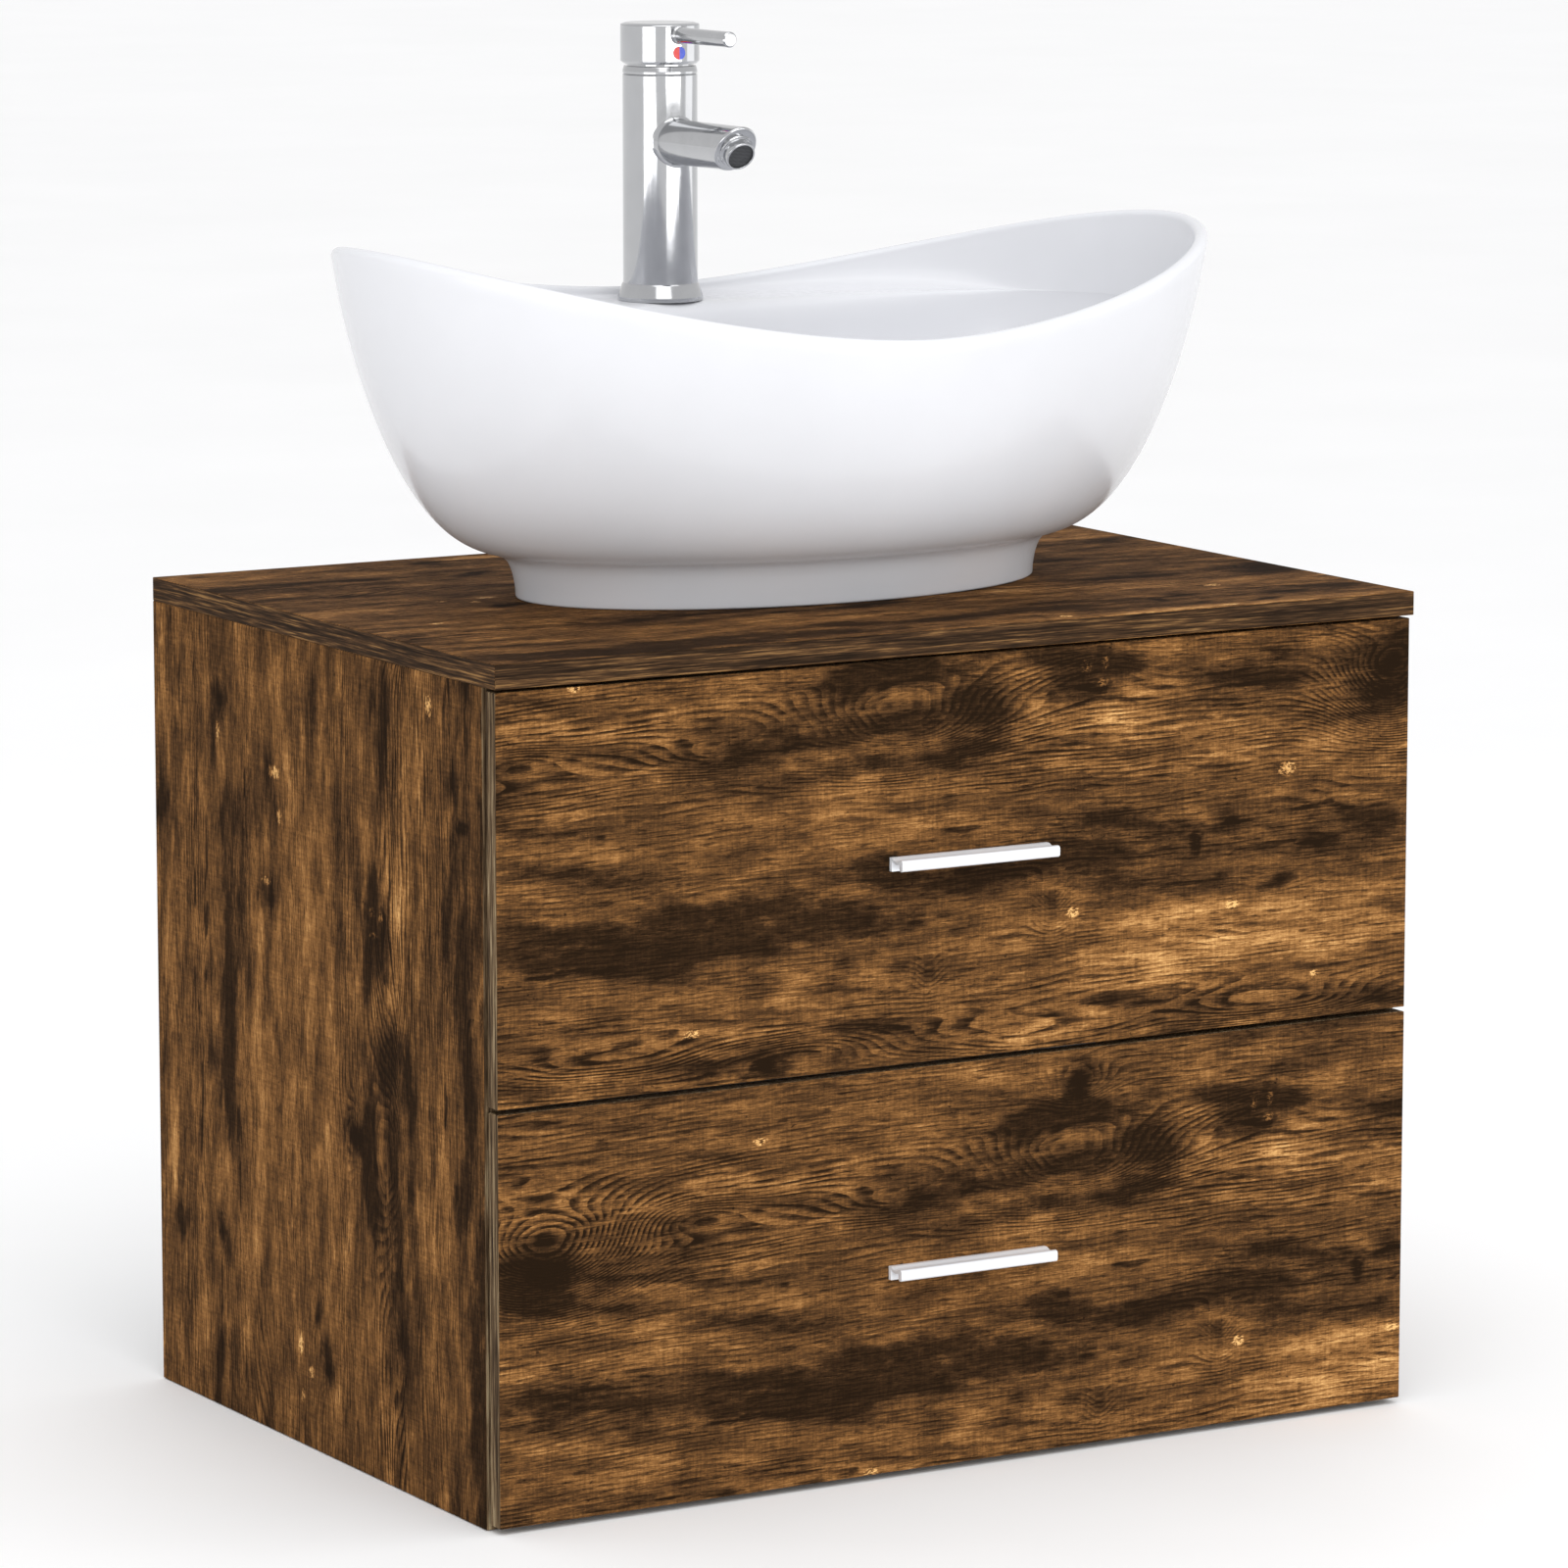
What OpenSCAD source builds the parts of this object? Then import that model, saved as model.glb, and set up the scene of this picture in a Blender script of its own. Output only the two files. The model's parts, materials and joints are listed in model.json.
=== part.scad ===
// Vessel sink on a vanity: an oval basin and a mixer tap on a cabinet with two drawers.
// Millimetres. +X is right, +Y points to the wall, +Z is up. The origin is at the middle of the
// base of the whole object's box, and the side panels stand on z = 0.

/* [Cabinet] */
// Width over the side panels and the countertop
cab_w = 650; // [630:1:700]
// Depth of the countertop, from its front edge to the wall
cab_d = 460; // [450:1:500]
// Height from the foot of the side panels to the top of the countertop
cab_h = 520; // [510:1:560]
// Thickness of the countertop, side panels and back rails
board_t = 15; // [15:0.5:18]
// How far the side panels' front edges stand behind the countertop's edge
panel_set = 17; // [16:0.5:20]

/* [Drawers] */
// Thickness of a drawer front
front_t = 12; // [10:0.5:12]
// How far a drawer front's face stands behind the countertop's edge
front_set = 2.5; // [1:0.5:3]
// Gap beside each drawer front, at its left and right ends
front_end_gap = 1.5; // [1:0.5:3]
// Gap between the two drawer fronts
front_gap = 3; // [2:0.5:4]
// Height of the middle of the gap between the two drawer fronts
split_z = 254.5; // [250:0.5:258]
// How far each drawer opens
drawer_travel = 300; // [250:5:310]
// Height of the drawer boxes
drawer_h = 150; // [130:1:155]

/* [Handles] */
// Length of a handle
handle_l = 112; // [105:1:160]
// How far a handle stands out of its drawer front
handle_out = 15.5; // [14:0.5:20]
// Distance between a handle's two screws
handle_screws = 96; // [80:1:98]

/* [Basin] */
// Length of the basin between its two raised tips
basin_l = 592; // [580:1:600]
// Front to back size of the basin at its full height
basin_w = 396; // [388:1:400]
// Height of the basin at its tips
basin_h = 223; // [215:1:230]
// Height of the rim at the middle of the back
rim_back = 173.5; // [172:0.5:176]
// Height of the rim at the middle of the front
rim_front = 169.5; // [169:0.5:175]
// Length of the oval foot
foot_l = 357; // [340:1:360]
// Front to back size of the oval foot
foot_w = 205; // [200:1:210]
// Height of the oval foot
foot_h = 22; // [18:1:24]
// Thickness of the glazed wall
basin_wall = 9; // [8:0.5:9]

/* [Tap] */
// Height of the tap above the basin's shelf
tap_h = 177.5; // [170:0.5:190]
// Diameter of the tap's body
tap_d = 48; // [47:0.5:50]
// Distance from the tap's axis to the middle of the spout's slanted end
spout_reach = 98.5; // [90:0.5:120]
// Distance from the tap's axis to the end of the lever
lever_reach = 90.5; // [80:0.5:110]

/* [Hidden] */
eps = 0.01;
$fn = 64;

// Planes of the cabinet
y_back = (cab_d + handle_out - front_set) / 2;
y_slab = y_back - cab_d;
y_face = y_slab + front_set;
y_panel = y_slab + panel_set;
slab_z = cab_h - board_t;
inner_w = cab_w - 2 * board_t;
left_in = -inner_w / 2;
right_in = inner_w / 2;

// Carcass boards
bottom_t = 12;
bottom_z = 6;
rail_h = 75;
rail_y = y_back - board_t;
wall_hole_x = 250;
wall_hole_r = 3.5;
wall_hole_up = rail_h / 2;
lower_rail_z = bottom_z + bottom_t;
bumper_t = 2.2;
bumper_r = 4;

// Dowels and cam fittings
dowel_r = 4;
dowel_l = 30;
dowel_shallow = 10;
dowel_ys = [y_panel + 60, y_panel + 220, y_back - 80];
cam_r = 7.5;
cam_t = 12;
cam_back = 24;
cam_bolt_r = 3;
cam_bolt_in = 10;
cam_ys = [y_panel + 100, y_back - 120];
cam_rail_zs = [lower_rail_z + rail_h / 2, slab_z - rail_h / 2];

// Drawer fronts
front_low = 3.5;
front_top_gap = 2;
front_w = cab_w - 2 * front_end_gap;
y_front_back = y_face + front_t;
lower_front_z = [front_low, split_z - front_gap / 2];
upper_front_z = [split_z + front_gap / 2, slab_z - front_top_gap];

// Drawer boxes and slides
slide_gap = 12.5;
slide_len = drawer_travel + 60;
slide_y = y_panel + 2;
slide_steel = 1.2;
outer_half = 22.5;
middle_half = 17.6;
inner_half = 12.7;
drawer_w = inner_w - 2 * slide_gap;
drawer_t = 12;
drawer_l = 380;
drawer_y_end = y_front_back + drawer_l;
drawer_bottom_t = 5;
groove_up = 10;
groove_in = 6;
lower_box_z = 32;
upper_box_z = 275;
slide_up = 60;
trap_gap_w = 150;
trap_gap_y = -50;
drawer_screw_r = 2;

// Handle profile
flange_h = 8.5;
flange_t = 3;
lip_h = 7.2;
lip_r = 2;
lip_trim = 0.15;
web_t = 2;
web_dip = 2;
web_rise = 0.3;
screw_head_r = 4;
screw_head_t = 2.5;

// Basin
basin_y = (y_slab + y_back) / 2 + 2;
basin_z = cab_h;
foot_flare = 4;
foot_wall = 12;
wall_start = foot_h + 6;
wall_round = 1.31;
wall_fill = 2.29;
rim_power = 1.77;
rim_r = 4.5;
deck_z = 167.5;
deck_fall = 3;
deck_edge = 116;
deck_blend = 10;
deck_dip = 0.4;
deck_flat = 0.93;
bowl_z = 36;
bowl_round = 2.2;
bowl_cut = 0.85;
drain_r = 22.5;
flange_r = 32;
basin_steps = 84;
tap_hole_r = 17.5;
overflow_up = 132;
overflow_r = 11;
overflow_lean = 13;
overflow_lip = 3;

// Waste and trap
waste_hole_r = 25;
hose_hole_r = 20;
hose_hole_back = 62;
waste_z = basin_z + bowl_z;
waste_tube_r = 20.5;
waste_low = slab_z - 46;
trap_pipe_r = 16;
trap_z = 380;
trap_r = 32;
trap_wall = 2.5;
trap_top = trap_z + 34;
trap_low = trap_z - 34;
cup_low = trap_low - 36;
branch_r = 19;
branch_l = 50;
plug_r = 28;
plug_stem_r = 4;
bridge_r = 8;
plug_lift = 8;

// Tap, from the basin's shelf upwards
tap_y = basin_y + 148.5;
tap_z = basin_z + deck_z;
tap_r = tap_d / 2;
base_h = 11.5;
base_r = 27.5;
base_top_r = 24.8;
head_r = tap_r + 1.35;
head_h = 26;
head_z = tap_h - head_h;
ring_z = head_z - 6.2;
ring_h = 4.9;
neck_r = 21;
spout_z = 102.5;
spout_r = 14.3;
spout_slant = 60;
aerator_r = 9.8;
aerator_out = 7;
aerator_in = 8;
aerator_drop = 1.5;
aerator_mesh_in = 2.2;
cartridge_r = 17.5;
cartridge_z = 112;
lever_z = tap_h - 7;
lever_r = 5;
dot_z = tap_h - 18.5;
dot_r = 4.2;
dot_out = 0.35;
lift_max = 12;
relief_from = 3;
pivot_z = head_z - 11;
pivot_r = 1.5;

// ---------------------------------------------------------------- boards

// A board from one corner to the opposite one
module board(low, high) {
    translate(low) cube(high - low);
}

// A round hole or rod along Y
module rod_y(r, x, z, y0, y1) {
    translate([x, y1, z]) rotate([90, 0, 0]) cylinder(r = r, h = y1 - y0);
}

// A round hole or rod along X
module rod_x(r, y, z, x0, x1) {
    translate([x0, y, z]) rotate([0, 90, 0]) cylinder(r = r, h = x1 - x0);
}

// Everything that holds the countertop and the bottom panel to the side panels
module dowel_set() {
    for (side = [-1, 1], y = dowel_ys) {
        translate([side * (cab_w - board_t) / 2, y, slab_z - dowel_l + dowel_shallow])
            cylinder(r = dowel_r, h = dowel_l);
        mirror([side < 0 ? 1 : 0, 0, 0])
            rod_x(dowel_r, y, bottom_z + bottom_t / 2, right_in - dowel_l + dowel_shallow,
                  right_in + dowel_shallow);
    }
}

// Cams and their bolts; a bolt reaches into its cam's cylinder by grow, and stops short of it if
// grow is negative
module cam_set(grow) {
    for (side = [-1, 1]) mirror([side < 0 ? 1 : 0, 0, 0]) {
        for (y = cam_ys) {
            rod_x(cam_r, y, slab_z - cam_back, right_in, right_in + cam_t);
            translate([right_in + cam_t / 2, y, slab_z - cam_back + cam_r - grow])
                cylinder(r = cam_bolt_r, h = cam_back - cam_r + cam_bolt_in + grow);
        }
        for (z = cam_rail_zs) {
            rod_y(cam_r, right_in - cam_back, z, rail_y, rail_y + cam_t);
            rod_x(cam_bolt_r, rail_y + cam_t / 2, z, right_in - cam_back + cam_r - grow,
                  right_in + cam_bolt_in);
        }
    }
}

module top_slab() color("#6b4526") difference() {
    board([-cab_w / 2, y_slab, slab_z], [cab_w / 2, y_back, cab_h]);
    translate([0, basin_y, slab_z - eps]) cylinder(r = waste_hole_r, h = board_t + 2 * eps);
    translate([0, basin_y + hose_hole_back, slab_z - eps])
        cylinder(r = hose_hole_r, h = board_t + 2 * eps);
    dowel_set();
    cam_set(1);
}

module side_panel(side) color("#5d3b20") difference() {
    mirror([side < 0 ? 1 : 0, 0, 0])
        board([right_in, y_panel, 0], [cab_w / 2, y_back, slab_z]);
    dowel_set();
    cam_set(1);
}

module left_side_panel() side_panel(-1);

module right_side_panel() side_panel(1);

module bottom_panel() color("#4d3420") difference() {
    board([left_in, y_panel, bottom_z], [right_in, y_back, bottom_z + bottom_t]);
    dowel_set();
}

module back_rail(z) color("#4d3420") difference() {
    board([left_in, rail_y, z], [right_in, y_back, z + rail_h]);
    for (x = [-wall_hole_x, wall_hole_x])
        rod_y(wall_hole_r, x, z + wall_hole_up, rail_y - eps, y_back + eps);
    cam_set(1);
}

module back_rail_upper() back_rail(slab_z - rail_h);

module back_rail_lower() back_rail(lower_rail_z);

module dowels() color("#c9a877") dowel_set();

module cam_fittings() color("silver") cam_set(-0.5);

module drawer_bumpers() color("#d8d8d4")
    for (side = [-1, 1], z = [lower_box_z, split_z - 25, split_z + 25, slab_z - 30])
        rod_y(bumper_r, side * (cab_w - board_t) / 2, z, y_panel - bumper_t, y_panel);

// ---------------------------------------------------------------- slides

// A channel of a drawer slide: its web stands back_off from the side panel, facing it if
// flip is 1, and its flanges reach depth
module slide_channel(side, z, y, half, back_off, depth, flip) {
    web = flip ? back_off + depth - slide_steel : back_off;
    mirror([side < 0 ? 1 : 0, 0, 0]) {
        board([right_in - web - slide_steel, y, z - half], [right_in - web, y + slide_len, z + half]);
        for (s = [-1, 1])
            board([right_in - back_off - depth, y, z + s * (half - slide_steel / 2) - slide_steel / 2],
                  [right_in - back_off, y + slide_len, z + s * (half - slide_steel / 2) + slide_steel / 2]);
    }
}

module slide_pair(z, half, back_off, depth, flip) color("#b9bcc0")
    for (side = [-1, 1]) slide_channel(side, z, slide_y, half, back_off, depth, flip);

module slide_outer_members() {
    slide_pair(lower_box_z + slide_up, outer_half, 0, 10, 0);
    slide_pair(upper_box_z + slide_up, outer_half, 0, 10, 0);
}

module slide_middle(box_z) slide_pair(box_z + slide_up, middle_half, 3, 8, 0);

module slide_inner(box_z) slide_pair(box_z + slide_up, inner_half, 5.5, 7, 1);

module upper_slide_middle() slide_middle(upper_box_z);

module upper_slide_inner() slide_inner(upper_box_z);

module lower_slide_middle() slide_middle(lower_box_z);

module lower_slide_inner() slide_inner(lower_box_z);

// ---------------------------------------------------------------- drawers

module drawer_front(z) color("#6b4526") difference() {
    board([-front_w / 2, y_face, z[0]], [front_w / 2, y_front_back, z[1]]);
    for (x = [-handle_screws / 2, handle_screws / 2])
        rod_y(drawer_screw_r, x, (z[0] + z[1]) / 2, y_face - eps, y_front_back + eps);
}

module drawer_side(side, box_z) color("#8b8f92") difference() {
    mirror([side < 0 ? 1 : 0, 0, 0])
        board([drawer_w / 2 - drawer_t, y_front_back, box_z],
              [drawer_w / 2, drawer_y_end, box_z + drawer_h]);
    drawer_bottom_blank(box_z);
}

// The bottom board, set in grooves in the two sides
module drawer_bottom_blank(box_z) {
    half = drawer_w / 2 - drawer_t + groove_in;
    board([-half, y_front_back, box_z + groove_up],
          [half, drawer_y_end, box_z + groove_up + drawer_bottom_t]);
}

module drawer_back(box_z) color("#8b8f92")
    board([-drawer_w / 2 + drawer_t, drawer_y_end - drawer_t, box_z + groove_up + drawer_bottom_t],
          [drawer_w / 2 - drawer_t, drawer_y_end, box_z + drawer_h]);

// The space that the upper drawer leaves free for the trap, open at the back
module trap_gap(grow) {
    board([-trap_gap_w / 2 - grow, trap_gap_y - grow, upper_box_z - 1],
          [trap_gap_w / 2 + grow, drawer_y_end + 1, upper_box_z + drawer_h + 1]);
}

module upper_drawer_front() drawer_front(upper_front_z);

module upper_drawer_left_side() drawer_side(-1, upper_box_z);

module upper_drawer_right_side() drawer_side(1, upper_box_z);

module upper_drawer_back() color("#8b8f92") difference() {
    drawer_back(upper_box_z);
    trap_gap(drawer_t);
}

module upper_drawer_bottom() color("#a3a5a6") difference() {
    drawer_bottom_blank(upper_box_z);
    trap_gap(0);
}

module upper_drawer_trap_guard() color("#8b8f92") difference() {
    board([-trap_gap_w / 2 - drawer_t, trap_gap_y - drawer_t, upper_box_z + groove_up + drawer_bottom_t],
          [trap_gap_w / 2 + drawer_t, drawer_y_end, upper_box_z + drawer_h]);
    trap_gap(0);
}

module lower_drawer_front() drawer_front(lower_front_z);

module lower_drawer_left_side() drawer_side(-1, lower_box_z);

module lower_drawer_right_side() drawer_side(1, lower_box_z);

module lower_drawer_back() drawer_back(lower_box_z);

module lower_drawer_bottom() color("#a3a5a6") drawer_bottom_blank(lower_box_z);

// One run of a handle: a flat shape, x outwards from the drawer front and y up, carried along the bar
module handle_run(z)
    translate([-handle_l / 2, y_face, (z[0] + z[1]) / 2])
        rotate([90, 0, 90]) mirror([1, 0, 0]) linear_extrude(handle_l) children();

// A flange on the drawer front, a web that dips outwards from it, and a rounded lip at the web's end
module handle(z) color("#e6e7e8") difference() {
    top = flange_h / 2;
    mid = handle_out / 2;
    lip_x = handle_out - lip_r;
    union() {
        handle_run(z) translate([0, -top]) square([flange_t, flange_h]);
        handle_run(z) polygon([
            [flange_t - 1, top], [mid, top - web_dip], [lip_x, top - web_rise], [lip_x, top - web_t - web_rise],
            [mid, top - web_dip - web_t], [flange_t - 1, top - web_t]
        ]);
        handle_run(z) translate([lip_x, top - lip_r]) circle(r = lip_r);
        handle_run(z) translate([lip_x, top - lip_h + lip_r]) circle(r = lip_r);
        handle_run(z) translate([lip_x - lip_r + lip_trim, top - lip_h + lip_r])
            square([2 * (lip_r - lip_trim), lip_h - 2 * lip_r]);
    }
    for (x = [-handle_screws / 2, handle_screws / 2])
        rod_y(drawer_screw_r, x, (z[0] + z[1]) / 2, y_face - flange_t + 0.5, y_face + eps);
}

module handle_screw_pair(z) color("silver")
    for (x = [-handle_screws / 2, handle_screws / 2]) {
        rod_y(drawer_screw_r, x, (z[0] + z[1]) / 2, y_face - flange_t + 0.5, y_front_back + eps);
        rod_y(screw_head_r, x, (z[0] + z[1]) / 2, y_front_back, y_front_back + screw_head_t);
    }

module upper_handle() handle(upper_front_z);

module upper_handle_screws() handle_screw_pair(upper_front_z);

module lower_handle() handle(lower_front_z);

module lower_handle_screws() handle_screw_pair(lower_front_z);

// ---------------------------------------------------------------- basin

// Distance from the centre to an ellipse of half sizes a and b, in the direction t
function oval(a, b, t) = a * b / sqrt(pow(b * cos(t), 2) + pow(a * sin(t), 2));

// How far the outer wall has swelled from the foot (0) to its full size (1) at height z
function swell(z) = let (u = min(1, max(0, (z - wall_start) / (basin_h - wall_start))))
    pow(1 - pow(1 - u, wall_round), 1 / wall_fill);

// Radius of the outer wall in the direction t at height z
function outer_r(t, z) = let (s = swell(z))
    oval(foot_l / 2 + foot_flare + (basin_l - foot_l - 2 * foot_flare) / 2 * s,
         foot_w / 2 + foot_flare + (basin_w - foot_w - 2 * foot_flare) / 2 * s, t);

// Height of the rim in the direction t: high at the two tips, low at the back and the front
function rim_z(t) = let (a = basin_l / 2, x = oval(a, basin_w / 2, t) * cos(t) / a,
                         low = sin(t) > 0 ? rim_back : rim_front)
    low + (basin_h - low) * pow(abs(x), rim_power);

// Radius of the inside of the rim wall at the height of the shelf
function shelf_r(t) = outer_r(t, deck_z) - 2 * rim_r - 1;

// Radius of the bowl's mouth: the rim's inside, cut off at the back by the shelf's edge
function mouth_r(t) = pow(pow(shelf_r(t), -deck_blend)
                          + pow(max(0, sin(t)) / deck_edge, deck_blend), -1 / deck_blend);

// Share of the mouth's radius that the bowl still has at the height share w
function bowl_share(w) = pow((1 - pow(1 - bowl_cut * w, bowl_round))
                             / (1 - pow(1 - bowl_cut, bowl_round)), 1 / bowl_round);

// Radius of the bowl in the direction t at height z
function bowl_r(t, z) = drain_r + (mouth_r(t) - drain_r)
    * bowl_share(min(1, max(0, (z - bowl_z) / (deck_z - deck_fall - bowl_z))));

// Height at which the space between the bowl and the outer wall closes
function hollow_top(t, low, high, n) = let (z = (low + high) / 2)
    n == 0 ? z
    : outer_r(t, z) - bowl_r(t, z) > 2 * basin_wall + 3 ? hollow_top(t, z, high, n - 1)
    : hollow_top(t, low, z, n - 1);

// One section of the basin, as a closed loop of [radius, height] points in the direction t
function basin_section(t) = let (
    foot = oval(foot_l / 2, foot_w / 2, t),
    top = rim_z(t) - rim_r,
    rim_out = outer_r(t, top),
    hollow = hollow_top(t, bowl_z, deck_z - deck_fall - basin_wall, 10),
    share = (hollow - bowl_z) / (deck_z - deck_fall - bowl_z)
) concat(
    [[foot - 1.5, 0], [foot, 1.5], [foot + foot_flare, foot_h]],
    [for (k = [0 : 10]) let (z = foot_h + 5.99 + (top - foot_h - 5.99) * pow(k / 10, 1.7))
        [outer_r(t, z), z]],
    [for (a = [45 : 45 : 135]) [rim_out - rim_r + rim_r * cos(a), top + rim_r * sin(a)]],
    [[rim_out - 2 * rim_r, top], [shelf_r(t), deck_z],
     [shelf_r(t) + (mouth_r(t) - shelf_r(t)) * deck_flat, deck_z - deck_dip]],
    [for (k = [0 : 9]) let (w = pow(1 - k / 9, 1.6), z = bowl_z + (deck_z - deck_fall - bowl_z) * w)
        [bowl_r(t, z), z]],
    [[drain_r, bowl_z - basin_wall]],
    [for (k = [1 : 5]) let (w = share * pow(k / 5, 1.5), z = bowl_z + (deck_z - deck_fall - bowl_z) * w,
                            lean = min(1, 1.5 * w / share))
        [bowl_r(t, z) + basin_wall * lean, z - basin_wall * (1 - lean)]],
    [for (k = [0 : 4]) let (z = wall_start + (hollow - wall_start) * pow(1 - k / 4, 1.6), lean = 1 - k / 5)
        [outer_r(t, z) - basin_wall * lean, z + basin_wall * (k / 5)]],
    [[foot - foot_wall, foot_h + basin_wall - 2], [foot - foot_wall, 0]]
);

// The closed double-walled shell, open under its foot, carried round the basin's centre
module basin_shell() {
    sections = [for (i = [0 : basin_steps - 1]) basin_section(i * 360 / basin_steps)];
    n = len(sections[0]);
    points = [for (i = [0 : basin_steps - 1], p = sections[i])
        [p[0] * cos(i * 360 / basin_steps), p[0] * sin(i * 360 / basin_steps), p[1]]];
    function at(i, j) = (i % basin_steps) * n + (j % n);
    faces = [for (i = [0 : basin_steps - 1], j = [0 : n - 1], half = [0, 1])
        half == 0 ? [at(i, j), at(i, j + 1), at(i + 1, j + 1)]
                  : [at(i, j), at(i + 1, j + 1), at(i + 1, j)]];
    polyhedron(points, faces);
}

// A rod square to the bowl's back wall at the overflow
module overflow_rod(r, before, behind) {
    translate([0, bowl_r(90, overflow_up), overflow_up]) rotate([-90 + overflow_lean, 0, 0])
        translate([0, 0, -before]) cylinder(r = r, h = before + behind);
}

module basin() color("#f7f8fa") translate([0, basin_y, basin_z]) difference() {
    basin_shell();
    translate([0, 0, bowl_z - 2]) cylinder(r = flange_r + 1, h = 10);
    translate([0, tap_y - basin_y, deck_z - 30]) cylinder(r = tap_hole_r, h = 60);
    overflow_rod(overflow_r, 8, 22);
    overflow_rod(overflow_r + overflow_lip + 0.3, 8, 0);
}

module overflow_ring() color("silver") translate([0, basin_y, basin_z]) difference() {
    union() {
        overflow_rod(overflow_r, 0, 7);
        overflow_rod(overflow_r + overflow_lip, 2, 0);
    }
    overflow_rod(overflow_r - 2.5, 4, 10);
}

// ---------------------------------------------------------------- waste and trap

// A tube about the drain's axis
module ring(r_out, r_in, z0, z1) {
    translate([0, basin_y, z0]) difference() {
        cylinder(r = r_out, h = z1 - z0);
        translate([0, 0, -eps]) cylinder(r = r_in, h = z1 - z0 + 2 * eps);
    }
}

module waste_flange() color("silver") translate([0, basin_y, waste_z - 2]) rotate_extrude()
    polygon([[waste_tube_r - 3, 0], [flange_r, 0], [flange_r, 1], [flange_r - 2.5, 2.4],
             [flange_r - 8, 2.4], [waste_tube_r - 3, 1]]);

// The threaded tube, with the cross bar that guides the plug's stem
module waste_body() color("silver") {
    ring(waste_tube_r, waste_tube_r - 3, waste_low, waste_z - 2);
    difference() {
        union() {
            ring(bridge_r, plug_stem_r + 1, waste_z - 30, waste_z - 22);
            translate([-waste_tube_r + 1.5, basin_y - 2.5, waste_z - 28])
                cube([2 * waste_tube_r - 3, 5, 6]);
        }
        translate([0, basin_y, waste_z - 31]) cylinder(r = plug_stem_r + 0.05, h = 10);
    }
}

module waste_seal() color("#2b2b2b")
    ring(waste_hole_r + 7, waste_tube_r, slab_z - 4, slab_z);

module waste_lock_nut() color("silver") translate([0, basin_y, slab_z - 16]) difference() {
    cylinder(r = waste_hole_r + 8, h = 12, $fn = 6);
    translate([0, 0, -1]) cylinder(r = waste_tube_r, h = 14);
}

module trap_inlet_nut() color("#e9eaec") {
    ring(waste_tube_r + 6, waste_tube_r, waste_low - 3, waste_low + 18);
    ring(waste_tube_r + 6, trap_pipe_r, waste_low - 7, waste_low - 3);
}

module trap_dip_tube() color("#e9eaec") {
    ring(waste_tube_r, trap_pipe_r - trap_wall, waste_low - 3, waste_low);
    ring(trap_pipe_r, trap_pipe_r - trap_wall, trap_low - 12, waste_low - 3 + eps);
}

module trap_bottle() color("#e9eaec") difference() {
    union() {
        translate([0, basin_y, trap_low]) cylinder(r = trap_r, h = trap_top - trap_low);
        translate([0, basin_y, trap_top - eps]) cylinder(r = trap_pipe_r + 6, h = 12);
        rod_y(branch_r, 0, trap_z, basin_y, basin_y + branch_l);
    }
    translate([0, basin_y, trap_low - eps]) cylinder(r = trap_r - trap_wall, h = trap_top - trap_low - trap_wall);
    translate([0, basin_y, trap_top - 10]) cylinder(r = trap_pipe_r, h = 30);
    rod_y(trap_pipe_r, 0, trap_z, basin_y + branch_l - 18, basin_y + branch_l + eps);
    rod_y(trap_pipe_r - trap_wall, 0, trap_z, basin_y + 20, basin_y + branch_l);
}

module trap_cup() color("#e9eaec") difference() {
    translate([0, basin_y, 0]) union() {
        translate([0, 0, cup_low]) cylinder(r1 = trap_r - 6, r2 = trap_r + 1, h = 8);
        translate([0, 0, cup_low + 8 - eps]) cylinder(r = trap_r + 1, h = trap_low - cup_low - 8 + eps);
        translate([0, 0, trap_low - 4]) cylinder(r = trap_r + 4, h = 16);
    }
    translate([0, basin_y, cup_low + 3]) cylinder(r = trap_r - 7, h = 6);
    translate([0, basin_y, cup_low + 8]) cylinder(r = trap_r - 2, h = trap_low - cup_low - 8 + eps);
    translate([0, basin_y, trap_low]) cylinder(r = trap_r, h = 20);
}

module trap_outlet_nut() color("#e9eaec") difference() {
    rod_y(branch_r + 5, 0, trap_z, basin_y + branch_l - 14, basin_y + branch_l + 6);
    rod_y(branch_r, 0, trap_z, basin_y + branch_l - 15, basin_y + branch_l);
    rod_y(trap_pipe_r, 0, trap_z, basin_y + branch_l - 15, basin_y + branch_l + 7);
}

// The pipe to the wall, with a slimmer spigot that goes into the bottle's branch
module trap_outlet_pipe() color("#e9eaec") difference() {
    union() {
        rod_y(trap_pipe_r, 0, trap_z, basin_y + branch_l + 6, y_back);
        rod_y(trap_pipe_r - 0.2, 0, trap_z, basin_y + branch_l - 18, basin_y + branch_l + 6 + eps);
    }
    rod_y(trap_pipe_r - trap_wall, 0, trap_z, basin_y + branch_l - 19, y_back + eps);
}

// The push plug: a domed cap on a stem that slides in a bridge across the waste
module waste_plug() color("silver") translate([0, basin_y, waste_z + plug_lift]) rotate_extrude()
    polygon([[0, -45], [plug_stem_r, -45], [plug_stem_r, 0], [plug_r - 1.5, 0], [plug_r, 1.2],
             [plug_r - 1, 2.6], [plug_r * 0.6, 3.8], [0, 4.4]]);

// ---------------------------------------------------------------- tap

module tap_at(z) translate([0, tap_y, tap_z + z]) children();

module tap_base_ring() color("silver") tap_at(0) difference() {
    rotate_extrude() polygon([[tap_r, 0], [base_r - 0.8, 0], [base_r, 0.8], [base_r, 2.5],
                              [base_top_r, base_h - 1], [tap_r, base_h]]);
    translate([0, 0, -eps]) cylinder(r = tap_r, h = base_h + 1);
}

// Turns the Z axis to the direction in which the spout's slanted end faces
module spout_end() translate([0, -spout_reach, spout_z]) rotate([180 - spout_slant, 0, 0])
    children();

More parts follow.
